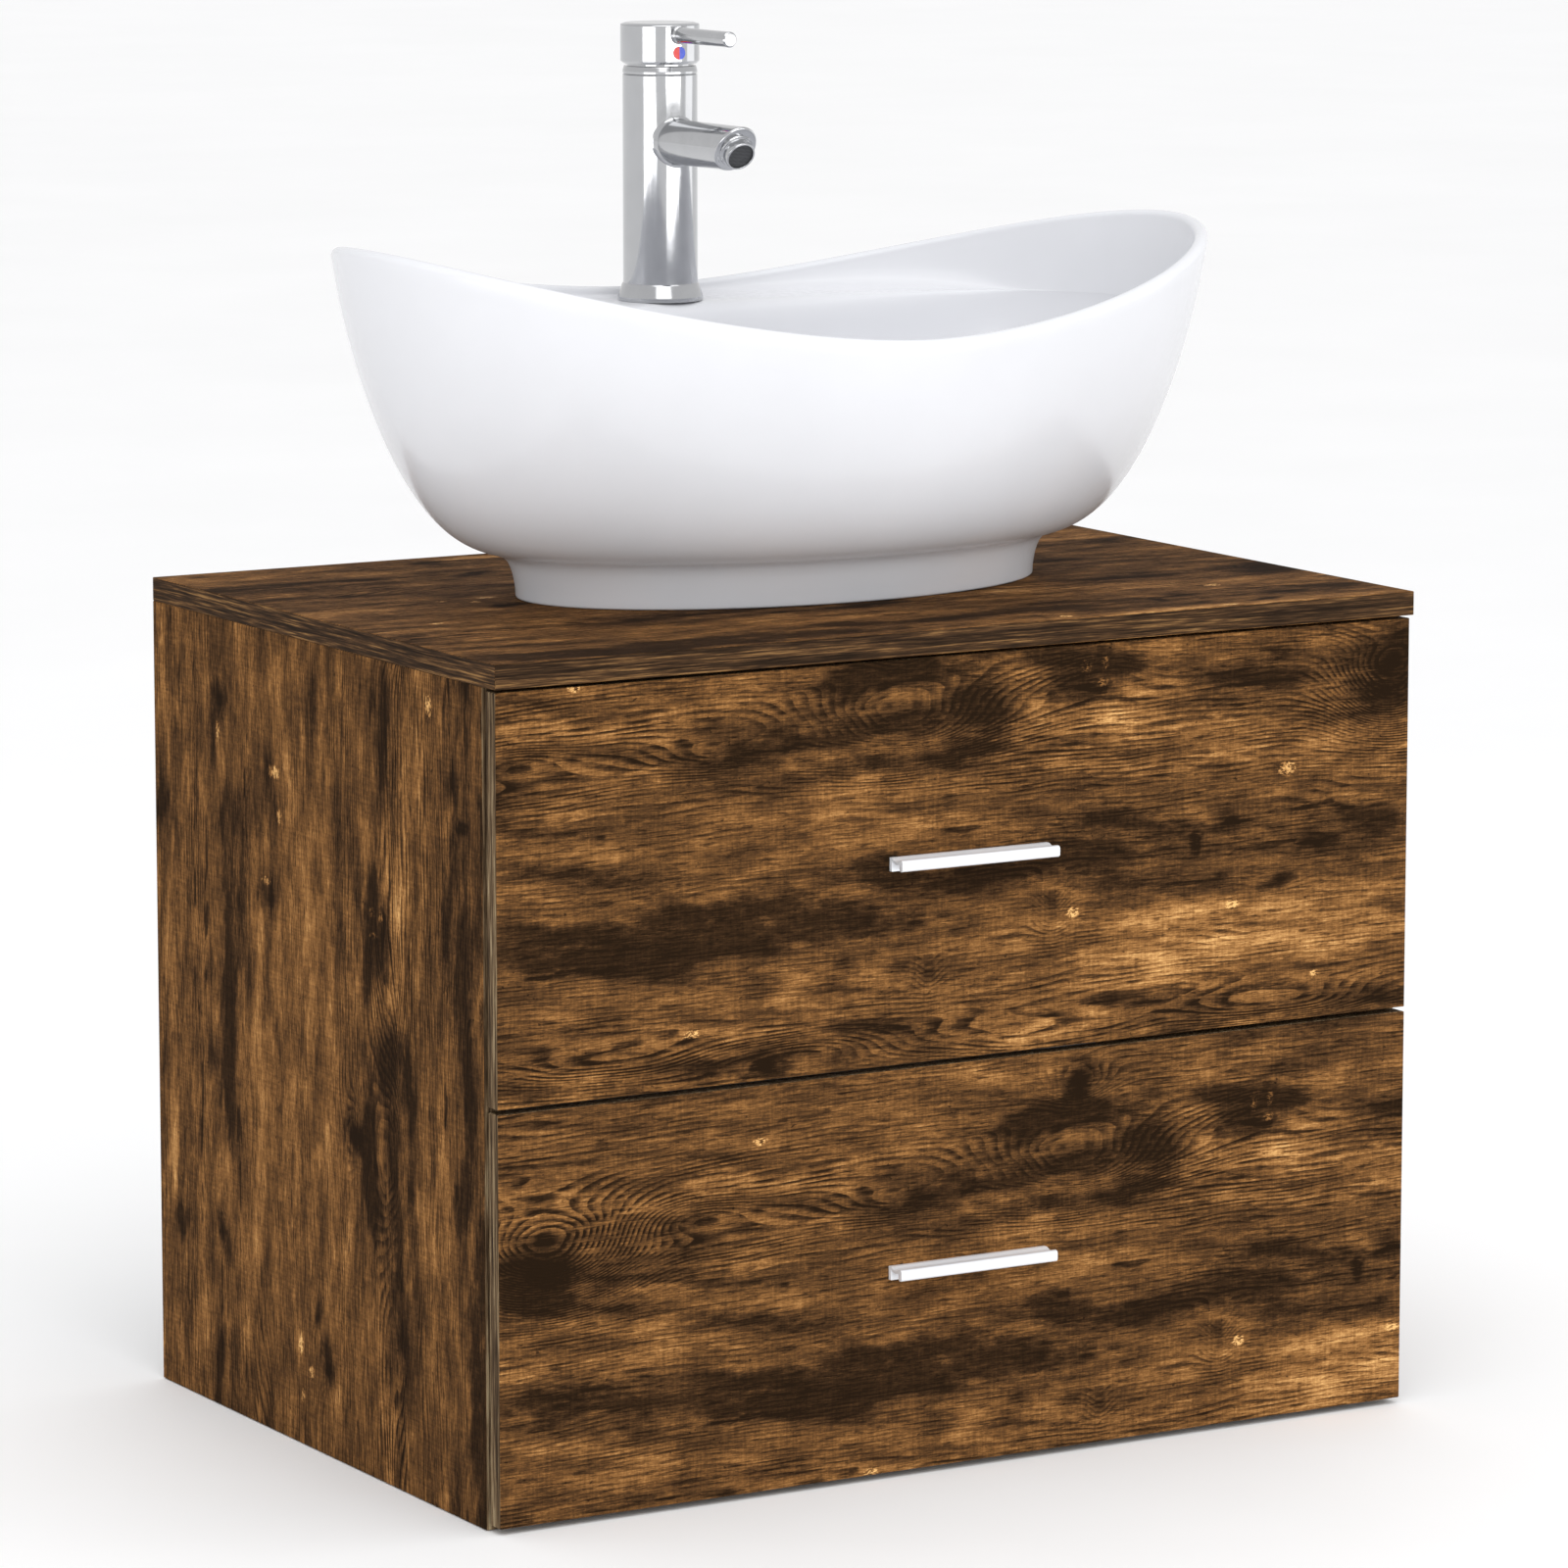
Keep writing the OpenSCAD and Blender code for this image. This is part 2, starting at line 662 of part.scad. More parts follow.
// The aerator's axis lies a little below the middle of the spout's slanted end
module aerator_place() spout_end() translate([0, -aerator_drop, 0]) children();

module tap_body() color("silver") tap_at(0) difference() {
    union() {
        cylinder(r = tap_r, h = ring_z - 0.8);
        cylinder(r = tap_r - 0.8, h = ring_z);
        difference() {
            translate([0, 0, spout_z]) rotate([90, 0, 0]) cylinder(r = spout_r, h = spout_reach + 40);
            spout_end() translate([-60, -60, 0]) cube(120);
        }
    }
    translate([0, 0, cartridge_z]) cylinder(r = cartridge_r, h = 60);
    for (x = [-9, 9]) translate([x, 6, -eps]) cylinder(r = 4.6, h = 16);
    for (x = [-6, 6]) translate([x, 6, 15]) cylinder(r = 2.5, h = cartridge_z - 14);
    translate([0, -9, -eps]) cylinder(r = 4, h = 18);
    translate([0, -4, spout_z - 4]) rotate([90, 0, 0]) cylinder(r = 6, h = spout_reach - 12);
    translate([0, -6, spout_z - 4]) cylinder(r = 3, h = cartridge_z - spout_z + 5);
    aerator_place() translate([0, 0, -aerator_in - 1]) cylinder(r = aerator_r - 1, h = aerator_in + 2);
}

module aerator_housing() color("silver") tap_at(0) aerator_place() difference() {
    union() {
        translate([0, 0, -aerator_in]) cylinder(r = aerator_r - 1, h = aerator_in + eps);
        cylinder(r = aerator_r, h = aerator_out);
    }
    translate([0, 0, -aerator_in - 1]) cylinder(r = aerator_r - 2.5, h = aerator_in + aerator_out + 2);
    translate([0, 0, aerator_out - aerator_mesh_in]) cylinder(r = aerator_r - 1.3, h = 3);
}

module aerator_mesh() color("#4b4b4b") tap_at(0) aerator_place()
    translate([0, 0, aerator_out - aerator_mesh_in]) cylinder(r = aerator_r - 1.3, h = 1.2);

module cartridge_body() color("#f0f0ee") tap_at(cartridge_z) difference() {
    union() {
        cylinder(r = cartridge_r - 0.5, h = 27);
        cylinder(r = cartridge_r - 3, h = 34);
    }
    translate([0, 0, 6]) cylinder(r = 10.5, h = 30);
}

module cartridge_nut() color("#c8a860") tap_at(cartridge_z + 27) difference() {
    cylinder(r = cartridge_r, h = 6);
    translate([0, 0, -eps]) cylinder(r = cartridge_r - 3, h = 7);
}

// The bevelled collar between the body and the lever head, with its narrow neck
module trim_ring() color("silver") tap_at(ring_z) rotate_extrude()
    polygon([[cartridge_r, 0], [tap_r, 0], [tap_r, 1.2], [tap_r - 0.9, ring_h], [neck_r, ring_h],
             [neck_r, ring_h + 3.5], [cartridge_r + 0.1, ring_h + 3.5]]);

module tap_stud() color("silver") tap_at(-58) translate([0, -9, 0]) cylinder(r = 4, h = 76);

module horseshoe_washer() color("#a5a7aa") tap_at(-basin_wall - 6.2) difference() {
    cylinder(r = 22, h = 3);
    translate([-11, -1, -1]) cube([22, 30, 5]);
    translate([0, -9, -1]) cylinder(r = 4, h = 5);
}

module stud_nut() color("#c8a860") tap_at(-basin_wall - 14.2) translate([0, -9, 0]) difference() {
    cylinder(r = 7.5, h = 8, $fn = 6);
    translate([0, 0, -1]) cylinder(r = 4, h = 10);
}

// Turns with the lever, inside the cartridge, and carries the pivot of the stem
module cartridge_core() color("#3b6ea5") tap_at(cartridge_z + 6.3) difference() {
    cylinder(r = 10.2, h = 26);
    translate([-4.8, -8, 15.7]) cube([9.6, 16, 20]);
    translate([0, 0, pivot_z - cartridge_z - 6.3]) rod_x(pivot_r, 0, 0, -12, 12);
}

// The pin across the core that the stem tips about
module cartridge_pin() color("silver") tap_at(pivot_z) rod_x(pivot_r, 0, 0, -9, 9);

module cartridge_stem() color("#d9d9d6") difference() {
    tap_at(head_z) translate([-4.2, -4.2, -15.5]) cube([8.4, 8.4, 28.5]);
    tap_at(pivot_z) rod_x(pivot_r + 0.05, 0, 0, -6, 6);
}

// The solid knob: a short drum with a hollow for the cartridge and a relief behind, so that it
// can tip back without touching the collar
module lever_head() color("silver") tap_at(head_z) difference() {
    rotate_extrude() polygon([[0, 0], [head_r - 1.6, 0], [head_r, 1.8], [head_r, head_h - 1.2],
                              [head_r - 1.2, head_h - 0.2], [head_r - 4, head_h], [0, head_h]]);
    translate([0, 0, -eps]) cylinder(r = neck_r + 2.3, h = 8);
    translate([-4.2, -4.2, 0]) cube([8.4, 8.4, 13]);
    translate([-40, relief_from, 0]) rotate([lift_max, 0, 0]) translate([0, 0, -20]) cube([80, 60, 20]);
    translate([0, -head_r - 3, lever_z - head_z]) rotate([-90, 0, 0]) cylinder(r = lever_r, h = 16);
    translate([0, -head_r - 1, dot_z - head_z]) rotate([-90, 0, 0]) cylinder(r = dot_r, h = 2.5);
}

module lever_rod() color("silver") tap_at(lever_z) rotate([90, 0, 0]) translate([0, 0, head_r - 13])
    rotate_extrude() polygon([[0, 0], [lever_r, 0], [lever_r, 13], [lever_r + 1, 13.4],
        [lever_r + 1, 15], [lever_r, 16], [lever_r, lever_reach - head_r + 12],
        [lever_r - 1, lever_reach - head_r + 13], [0, lever_reach - head_r + 13]]);

module indicator_half(side) tap_at(dot_z) intersection() {
    translate([0, -head_r + 1.5, 0]) rotate([90, 0, 0]) cylinder(r = dot_r, h = 1.5 + dot_out);
    translate([side < 0 ? -10 : 0, -40, -10]) cube([10, 40, 20]);
}

module indicator_red() color("#e0281e") indicator_half(-1);

module indicator_blue() color("#2b4fd0") indicator_half(1);

// ---------------------------------------------------------------- nodes

top_slab();
left_side_panel();
right_side_panel();
bottom_panel();
back_rail_upper();
back_rail_lower();
dowels();
cam_fittings();
drawer_bumpers();
slide_outer_members();
basin();
overflow_ring();
waste_flange();
waste_body();
waste_seal();
waste_lock_nut();
trap_inlet_nut();
trap_dip_tube();
trap_bottle();
trap_cup();
trap_outlet_nut();
trap_outlet_pipe();
tap_base_ring();
tap_body();
aerator_housing();
aerator_mesh();
cartridge_body();
cartridge_nut();
trim_ring();
tap_stud();
horseshoe_washer();
stud_nut();
cartridge_core();
cartridge_pin();
cartridge_stem();
lever_head();
lever_rod();
indicator_red();
indicator_blue();
waste_plug();
upper_slide_middle();
upper_slide_inner();
upper_drawer_front();
upper_drawer_left_side();
upper_drawer_right_side();
upper_drawer_back();
upper_drawer_bottom();
upper_drawer_trap_guard();
upper_handle();
upper_handle_screws();
lower_slide_middle();
lower_slide_inner();
lower_drawer_front();
lower_drawer_left_side();
lower_drawer_right_side();
lower_drawer_back();
lower_drawer_bottom();
lower_handle();
lower_handle_screws();
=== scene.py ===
"""An oval vessel basin and a single-lever mixer on a two-drawer vanity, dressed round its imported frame.

Metres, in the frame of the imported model: +X to the right, +Y to the wall, +Z up.
"""

import json
import math

import bmesh
import bpy
import numpy as np
from mathutils import Matrix, Vector


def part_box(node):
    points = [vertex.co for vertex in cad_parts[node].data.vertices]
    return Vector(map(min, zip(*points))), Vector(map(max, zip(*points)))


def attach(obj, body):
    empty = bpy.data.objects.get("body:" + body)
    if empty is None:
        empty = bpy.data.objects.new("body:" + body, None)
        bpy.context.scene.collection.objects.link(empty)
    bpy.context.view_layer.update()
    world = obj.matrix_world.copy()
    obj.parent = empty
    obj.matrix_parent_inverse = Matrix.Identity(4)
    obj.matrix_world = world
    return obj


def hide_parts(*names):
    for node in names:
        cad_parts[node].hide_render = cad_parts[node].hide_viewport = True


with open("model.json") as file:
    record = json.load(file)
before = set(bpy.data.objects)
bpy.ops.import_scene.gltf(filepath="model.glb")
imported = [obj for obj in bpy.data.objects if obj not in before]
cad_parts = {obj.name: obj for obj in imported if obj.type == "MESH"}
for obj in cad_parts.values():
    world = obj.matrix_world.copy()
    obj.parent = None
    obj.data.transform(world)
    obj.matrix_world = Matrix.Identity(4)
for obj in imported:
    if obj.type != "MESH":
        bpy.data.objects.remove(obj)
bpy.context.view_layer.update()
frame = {"nodes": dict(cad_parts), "record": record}

MM = 0.001
TURN = 2 * math.pi
SLOT_OF = {row["node"]: row["material_slot"] for row in frame["record"]["subparts"]}
BODY_OF = {node: body for body, nodes in frame["record"]["behaviour"]["bodies"].items() for node in nodes}


# ------------------------------------------------------------------ camera, light and floor

CAMERA_PLACE = (-2.2783, -3.8907, 1.1090)
CAMERA_PITCH = math.radians(90 - 9.016)
CAMERA_HEADING = math.radians(-30.353)
CAMERA_LENS = 166.19


def set_camera():
    """A long lens to the left of the cabinet, a little above the basin, looking slightly down."""
    data = bpy.data.cameras.new("studio_camera")
    data.lens = CAMERA_LENS
    data.sensor_width = 36
    data.clip_end = 200
    camera = bpy.data.objects.new("studio_camera", data)
    camera.location = CAMERA_PLACE
    camera.rotation_euler = (CAMERA_PITCH, 0, CAMERA_HEADING)
    bpy.context.scene.collection.objects.link(camera)
    bpy.context.scene.camera = camera


def softbox(name, place, target, size, power):
    """A rectangular lamp at a place, turned to a target."""
    data = bpy.data.lights.new(name, "AREA")
    data.shape = "RECTANGLE"
    data.size, data.size_y = size
    data.energy = power
    lamp = bpy.data.objects.new(name, data)
    lamp.location = place
    lamp.rotation_euler = (Vector(target) - Vector(place)).to_track_quat("-Z", "Y").to_euler()
    bpy.context.scene.collection.objects.link(lamp)


def set_lights():
    """A wide sun, low softboxes round the basin and one above it, and a sky a little greyer overhead."""
    sun_data = bpy.data.lights.new("key_sun", "SUN")
    sun_data.energy = 0.9
    sun_data.angle = math.radians(50)
    sun = bpy.data.objects.new("key_sun", sun_data)
    sun.rotation_euler = Vector((0.2, 0.6, -0.75)).to_track_quat("-Z", "Y").to_euler()
    bpy.context.scene.collection.objects.link(sun)
    basin_place = Vector((0, -0.05, 0.6))
    softbox("left_softbox", (-3.2, -1.6, 0.45), basin_place, (2.4, 0.7), 16)
    softbox("front_softbox", (0.8, -3.4, 0.42), basin_place, (3.2, 0.7), 26)
    softbox("top_softbox", (0.2, -0.6, 3.0), basin_place, (2.0, 2.0), 12)
    softbox("right_softbox", (3.2, -0.8, 0.6), basin_place, (2.0, 0.8), 4)

    world = bpy.data.worlds.new("studio_sky")
    world.use_nodes = True
    tree = world.node_tree
    place = tree.nodes.new("ShaderNodeTexCoord")
    split = tree.nodes.new("ShaderNodeSeparateXYZ")
    steps = tree.nodes.new("ShaderNodeValToRGB")
    tree.links.new(place.outputs["Generated"], split.inputs[0])
    tree.links.new(split.outputs["Z"], steps.inputs[0])
    steps.color_ramp.elements[0].position = 0.0
    steps.color_ramp.elements[0].color = (1.0, 1.0, 1.0, 1)
    steps.color_ramp.elements[1].position = 0.75
    steps.color_ramp.elements[1].color = (0.90, 0.90, 0.91, 1)
    background = tree.nodes["Background"]
    tree.links.new(steps.outputs["Color"], background.inputs["Color"])
    background.inputs["Strength"].default_value = 0.86
    bpy.context.scene.world = world
    bpy.context.scene.view_settings.view_transform = "Standard"


# ------------------------------------------------------------------ meshes

def closed(mesh):
    """Merges points that meet, such as those of a pole or a seam, and turns every face outwards."""
    work = bmesh.new()
    work.from_mesh(mesh)
    bmesh.ops.remove_doubles(work, verts=work.verts, dist=2e-6)
    bmesh.ops.dissolve_degenerate(work, edges=work.edges, dist=1e-7)
    bmesh.ops.recalc_face_normals(work, faces=work.faces)
    work.to_mesh(mesh)
    work.free()


def piece(name, points, faces, sharp=math.radians(40)):
    """A mesh object from an array of points and a list of faces, smooth but for edges above an angle."""
    mesh = bpy.data.meshes.new(name)
    mesh.from_pydata(np.reshape(points, (-1, 3)).tolist(), [], [list(face) for face in faces])
    closed(mesh)
    mesh.shade_smooth()
    mesh.set_sharp_from_angle(angle=sharp)
    made = bpy.data.objects.new(name, mesh)
    bpy.context.scene.collection.objects.link(made)
    return made


def stands_for(made, material, *nodes):
    """Gives a piece its material and its body, and hides the CAD nodes that it stands for."""
    made.data.materials.clear()
    made.data.materials.append(material)
    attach(made, BODY_OF[nodes[0]])
    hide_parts(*nodes)
    return made


def quads(rows, columns, wrap_rows, wrap_columns):
    """Corner numbers of the faces between neighbouring points of a rows x columns grid of points."""
    numbers = np.arange(rows * columns).reshape(rows, columns)
    if wrap_rows:
        numbers = np.vstack([numbers, numbers[:1]])
    if wrap_columns:
        numbers = np.hstack([numbers, numbers[:, :1]])
    corners = [numbers[:-1, :-1], numbers[:-1, 1:], numbers[1:, 1:], numbers[1:, :-1]]
    return np.stack([corner.ravel() for corner in corners], axis=1)


def eased(corners, steps=5):
    """An outline through (x, y, radius) corners. Each corner with a radius becomes an arc that touches
    both of its sides: its centre lies on the corner's bisector at radius / sin(half the angle)."""
    points = np.array([corner[:2] for corner in corners], float)
    outline = []
    neighbours = zip(points, np.roll(points, 1, 0), np.roll(points, -1, 0), corners)
    for here, before, after, (_, _, radius) in neighbours:
        if radius == 0:
            outline.append(here[None])
            continue
        to_before = (before - here) / np.linalg.norm(before - here)
        to_after = (after - here) / np.linalg.norm(after - here)
        half = math.acos(np.clip(to_before @ to_after, -1, 1)) / 2
        bisector = (to_before + to_after) / np.linalg.norm(to_before + to_after)
        centre = here + bisector * radius / math.sin(half)
        start = here + to_before * radius / math.tan(half) - centre
        end = here + to_after * radius / math.tan(half) - centre
        sweep = math.pi - 2 * half
        share = np.linspace(0, 1, steps + 1)[:, None]
        arc = (np.sin((1 - share) * sweep) * start + np.sin(share * sweep) * end) / math.sin(sweep)
        outline.append(centre + arc)
    return steadied(np.vstack(outline))


def steadied(outline, near=0.4 * MM):
    """Adds a point close to each end of every long side, so that smooth shading stays flat along it."""
    after = np.roll(outline, -1, 0)
    length = np.linalg.norm(after - outline, axis=1)
    share = np.divide(near, length, out=np.zeros_like(length), where=length > 5 * near)
    share = share[:, None]
    rows = np.stack([outline, outline + share * (after - outline), after - share * (after - outline)], axis=1)
    keep = np.stack([np.ones(len(length), bool), share[:, 0] > 0, share[:, 0] > 0], axis=1)
    return rows[keep]


def turned(name, corners, place, axis=(0, 0, 1), steps=96):
    """A surface of revolution: the closed outline of (radius, height, ease) corners, carried round an
    axis through a place: point = place + radius * (side * cos t + up * sin t) + height * axis."""
    outline = eased(corners)
    angles = np.linspace(0, TURN, steps, endpoint=False)
    spin = Vector((0, 0, 1)).rotation_difference(Vector(axis)).to_matrix()
    radius, height = outline[:, 0], outline[:, 1]
    flat = np.stack([np.cos(angles)[:, None] * radius, np.sin(angles)[:, None] * radius,
                     np.broadcast_to(height, (steps, len(height)))], axis=-1)
    points = flat @ np.array(spin).T + np.array(place)
    return piece(name, points, quads(steps, len(outline), True, True))


def cut(made, *cutters, join=False):
    """Cuts the cutters out of a piece, or joins them to it, and removes them."""
    for cutter in cutters:
        change = made.modifiers.new("cut", "BOOLEAN")
        change.operation = "UNION" if join else "DIFFERENCE"
        change.object = cutter
        change.solver = "EXACT"
    depsgraph = bpy.context.evaluated_depsgraph_get()
    result = bpy.data.meshes.new_from_object(made.evaluated_get(depsgraph))
    made.modifiers.clear()
    old = made.data
    made.data = result
    result.name = old.name
    for cutter in cutters:
        bpy.data.objects.remove(cutter)
    made.data.set_sharp_from_angle(angle=math.radians(40))
    return made


def rod(name, radius, place, length, axis=(0, 0, 1), steps=48):
    """A plain round cutter from a place along an axis."""
    return turned(name, [(0, 0, 0), (radius, 0, 0), (radius, length, 0), (0, length, 0)], place, axis, steps)


# ------------------------------------------------------------------ node trees

def linear(red, green, blue):
    """A colour from display values of 0 to 255, as the shader's linear values."""
    share = np.array([red, green, blue]) / 255
    return tuple(np.where(share <= 0.04045, share / 12.92, ((share + 0.055) / 1.055) ** 2.4)) + (1.0,)


def feed(tree, socket, value):
    """Joins an output to an input, or sets the input's own value."""
    if isinstance(value, bpy.types.NodeSocket):
        tree.links.new(value, socket)
    else:
        socket.default_value = value


def finish_of(name, colour=(0.8, 0.8, 0.8, 1.0), **values):
    """A new material with a Principled shader whose own sockets hold the given values."""
    material = bpy.data.materials.new(name)
    material.use_nodes = True
    shader = material.node_tree.nodes["Principled BSDF"]
    shader.inputs["Base Color"].default_value = colour
    for key, value in values.items():
        shader.inputs[key.replace("_", " ")].default_value = value
    return material, material.node_tree, shader


def calc(tree, operation, first, second=0.0, third=0.0, clamp=False):
    """A Math node's result."""
    made = tree.nodes.new("ShaderNodeMath")
    made.operation = operation
    made.use_clamp = clamp
    for socket, value in zip(made.inputs, (first, second, third)):
        feed(tree, socket, value)
    return made.outputs[0]


def remap(tree, value, low, high, out_low=0.0, out_high=1.0, smooth=True):
    """A value between two limits, spread between two others."""
    made = tree.nodes.new("ShaderNodeMapRange")
    made.interpolation_type = "SMOOTHSTEP" if smooth else "LINEAR"
    for socket, given in zip(made.inputs, (value, low, high, out_low, out_high)):
        feed(tree, socket, given)
    return made.outputs[0]


def clouds(tree, where, size, seed, detail=3.0, roughness=0.55, distortion=0.0):
    """Noise whose blots have the given size in metres along each axis."""
    mapping = tree.nodes.new("ShaderNodeMapping")
    mapping.inputs["Location"].default_value = (seed * 7.3, seed * 3.1, seed * 5.7)
    mapping.inputs["Scale"].default_value = tuple(1 / length for length in size)
    feed(tree, mapping.inputs["Vector"], where)
    made = tree.nodes.new("ShaderNodeTexNoise")
    made.inputs["Scale"].default_value = 1.0
    made.inputs["Detail"].default_value = detail
    made.inputs["Roughness"].default_value = roughness
    made.inputs["Distortion"].default_value = distortion
    feed(tree, made.inputs["Vector"], mapping.outputs[0])
    return made.outputs["Fac"]


def shades(tree, value, stops):
    """Colours along a value, from (position, colour) stops."""
    made = tree.nodes.new("ShaderNodeValToRGB")
    made.color_ramp.interpolation = "LINEAR"
    elements = made.color_ramp.elements
    while len(elements) < len(stops):
        elements.new(0.5)
    for element, (position, colour) in zip(elements, stops):
        element.position = position
        element.color = linear(*colour)
    feed(tree, made.inputs[0], value)
    return made.outputs["Color"]


def object_place(tree):
    """Where a point is on the object, in metres."""
    return tree.nodes.new("ShaderNodeTexCoord").outputs["Object"]


def attribute(tree, name):
    """A value that the piece's points carry."""
    made = tree.nodes.new("ShaderNodeAttribute")
    made.attribute_name = name
    return made.outputs["Fac"]


def emboss(tree, shader, height, distance, strength=1.0):
    """Raises the surface by a height value."""
    made = tree.nodes.new("ShaderNodeBump")
    made.inputs["Strength"].default_value = strength
    made.inputs["Distance"].default_value = distance
    feed(tree, made.inputs["Height"], height)
    tree.links.new(made.outputs["Normal"], shader.inputs["Normal"])


# ------------------------------------------------------------------ the smoked oak decor

# The boards are all cut from one printed sheet. Its places are in millimetres: the first number runs
# along the grain and the second across it. The boards' functions further down say where each is cut.

# Knots: place, half length, half height, how far they push the growth rings aside
KNOTS = [
    (-45, 465, 62, 24, 44), (-45, 514, 22, 14, 20), (60, 345, 11, 19, 15), (-28, 310, 9, 11, 9),
    (-415, 446, 58, 34, 62), (228, 346, 16, 7, 6), (310, 462, 40, 34, 44), (-320, 462, 50, 10, -16),
    (-260, 276, 70, 12, 16), (-120, 270, 60, 10, -14), (70, 262, 120, 16, 26), (235, 268, 70, 12, 22),
    (-150, 455, 60, 12, 16), (-140, 700, 12, 12, 12), (-198, 556, 14, 12, 14), (202, 696, 14, 12, 12),
    (95, 487, 40, 14, -12), (88, 630, 24, 14, 14), (-168, 570, 10, 7, 7), (-300, 640, 90, 22, 30),
]

# Stains below zero and bright wood above it: place, half length, half height, amount
PATCHES = [
    (-60, 496, 60, 10, -0.8), (86, 487, 40, 18, -1.3), (310, 488, 28, 22, -0.8), (-260, 474, 50, 8, 0.4),
    (-80, 470, 42, 24, -0.9), (2, 464, 30, 28, -1.1), (38, 470, 16, 24, 0.7), (112, 460, 44, 10, 0.7),
    (216, 476, 48, 12, -0.9), (300, 455, 22, 30, -0.7), (-170, 456, 46, 10, -0.5), (-112, 458, 30, 6, -0.7),
    (130, 443, 80, 12, 0.5), (250, 440, 50, 12, 0.4), (-86, 415, 26, 16, 0.9), (-140, 432, 40, 8, -0.4),
    (52, 436, 20, 6, -0.6), (160, 418, 90, 14, 0.3), (-60, 402, 40, 6, 0.5), (100, 392, 50, 10, -0.6),
    (-230, 380, 46, 8, -0.7), (-290, 412, 40, 14, -0.3), (-60, 380, 28, 12, -0.8), (90, 372, 60, 18, -1.0),
    (170, 380, 28, 12, -0.6), (275, 374, 56, 18, -0.8), (-280, 352, 90, 14, -1.0), (-170, 350, 76, 18, -1.1),
    (-85, 350, 42, 14, -1.0), (0, 366, 46, 10, -0.9), (112, 346, 30, 12, -0.3), (190, 348, 24, 4, -0.9),
    (228, 346, 14, 7, -1.2), (-250, 334, 90, 10, -0.7), (-120, 336, 44, 8, -0.5), (215, 326, 110, 14, 0.9),
    (150, 334, 30, 8, 1.0), (-125, 308, 26, 9, 1.1), (-160, 317, 10, 3, 0.9), (-88, 318, 9, 8, -0.7),
    (-34, 344, 8, 8, -0.7), (-14, 343, 8, 5, -0.7), (120, 304, 60, 14, 0.7), (225, 304, 80, 14, 0.9),
    (-200, 290, 44, 6, 0.4), (-70, 282, 28, 7, -1.0), (50, 290, 60, 10, 0.6), (180, 288, 90, 10, 0.5),
    (-285, 266, 30, 8, 0.6), (-170, 272, 60, 8, -0.4), (50, 270, 70, 12, 0.7), (100, 281, 32, 7, -0.5),
    (160, 262, 30, 8, -0.4), (315, 266, 26, 10, -0.6), (-425, 432, 26, 20, -2.0), (-415, 480, 52, 14, 0.4),
    (-296, 500, 30, 6, -0.9), (-315, 458, 24, 12, -0.5), (-355, 428, 44, 8, -0.4), (-405, 356, 64, 12, -1.0),
    (-44, 512, 16, 14, -1.2), (140, 535, 24, 14, -0.4), (72, 528, 24, 12, -0.7), (0, 540, 80, 16, 0.5),
    (220, 566, 30, 12, -0.5), (-120, 545, 50, 14, 0.3), (-168, 570, 11, 7, -1.2), (-198, 556, 13, 14, -1.2),
    (-192, 590, 18, 8, 0.8), (160, 625, 28, 12, -0.7), (88, 630, 24, 16, -0.8), (160, 600, 26, 8, 0.5),
    (127, 672, 32, 26, -0.9), (47, 685, 56, 16, -1.1), (-50, 690, 34, 12, -1.4), (0, 690, 40, 12, -0.8),
    (202, 696, 13, 14, -1.3), (176, 702, 16, 6, -0.6), (212, 718, 56, 3, 0.7), (-28, 715, 16, 7, -1.0),
    (-143, 700, 11, 13, -1.2), (-213, 705, 13, 6, -0.8), (-143, 760, 9, 12, -1.1), (-193, 755, 28, 8, -0.7),
    (-103, 770, 26, 10, 1.1), (127, 780, 22, 12, -1.0), (-300, 700, 70, 18, -0.9), (-280, 570, 60, 12, 0.6),
    (-270, 765, 80, 14, 0.5), (300, 640, 60, 16, -0.5), (290, 540, 50, 12, -0.5), (-60, 445, 90, 6, -0.5),
    (280, 720, 50, 20, -0.4), (60, 600, 60, 20, 0.2), (-80, 620, 70, 20, 0.3), (0, 395, 80, 8, 0.1),
    (-200, 520, 60, 16, 0.2), (-330, 540, 60, 20, -0.2), (60, 570, 60, 12, 0.4), (-60, 655, 70, 10, 0.3),
]

# Small pale chips: place, half length, half height
CHIPS = [
    (232, 415, 8, 5), (75, 338, 5, 4), (84, 489, 3, 7), (97, 491, 3, 5), (192, 333, 6, 3), (96, 479, 4, 3),
    (165, 622, 4, 10), (138, 615, 5, 4), (-190, 592, 8, 3), (-205, 578, 5, 4), (-222, 590, 5, 3),
    (-271, 502, 5, 3), (-193, 288, 6, 3), (254, 284, 4, 3), (96, 634, 3, 8), (181, 700, 8, 3),
]

# Long cracks along the grain: place, half length, half height
CRACKS = [
    (0, 398, 44, 1.4), (-60, 730, 120, 1.2), (60, 736, 60, 1.0), (-295, 333, 60, 1.6), (190, 385, 26, 1.5),
    (165, 375, 5, 7), (-150, 458, 40, 1.5), (-310, 462, 26, 1.5), (230, 368, 60, 1.5), (270, 388, 50, 1.5),
    (-170, 705, 40, 1.2), (60, 718, 70, 1.0), (-90, 676, 60, 1.0), (140, 660, 50, 1.0),
]

# Where the growth rings show as strong lines (above zero) or fade (below zero)
FIGURED = [
    (-240, 276, 130, 22, 1.0), (150, 272, 180, 22, 0.9), (-250, 460, 90, 34, 0.8), (150, 440, 150, 26, 0.5),
    (-415, 460, 70, 50, 1.0), (60, 465, 60, 40, 0.6), (300, 450, 40, 40, 0.6), (-200, 400, 120, 20, -0.3),
    (-150, 350, 160, 20, -0.4), (0, 640, 300, 90, -0.45), (-260, 640, 90, 60, 0.7), (160, 330, 80, 14, -0.3),
]

RING_WIDTH = 3.4


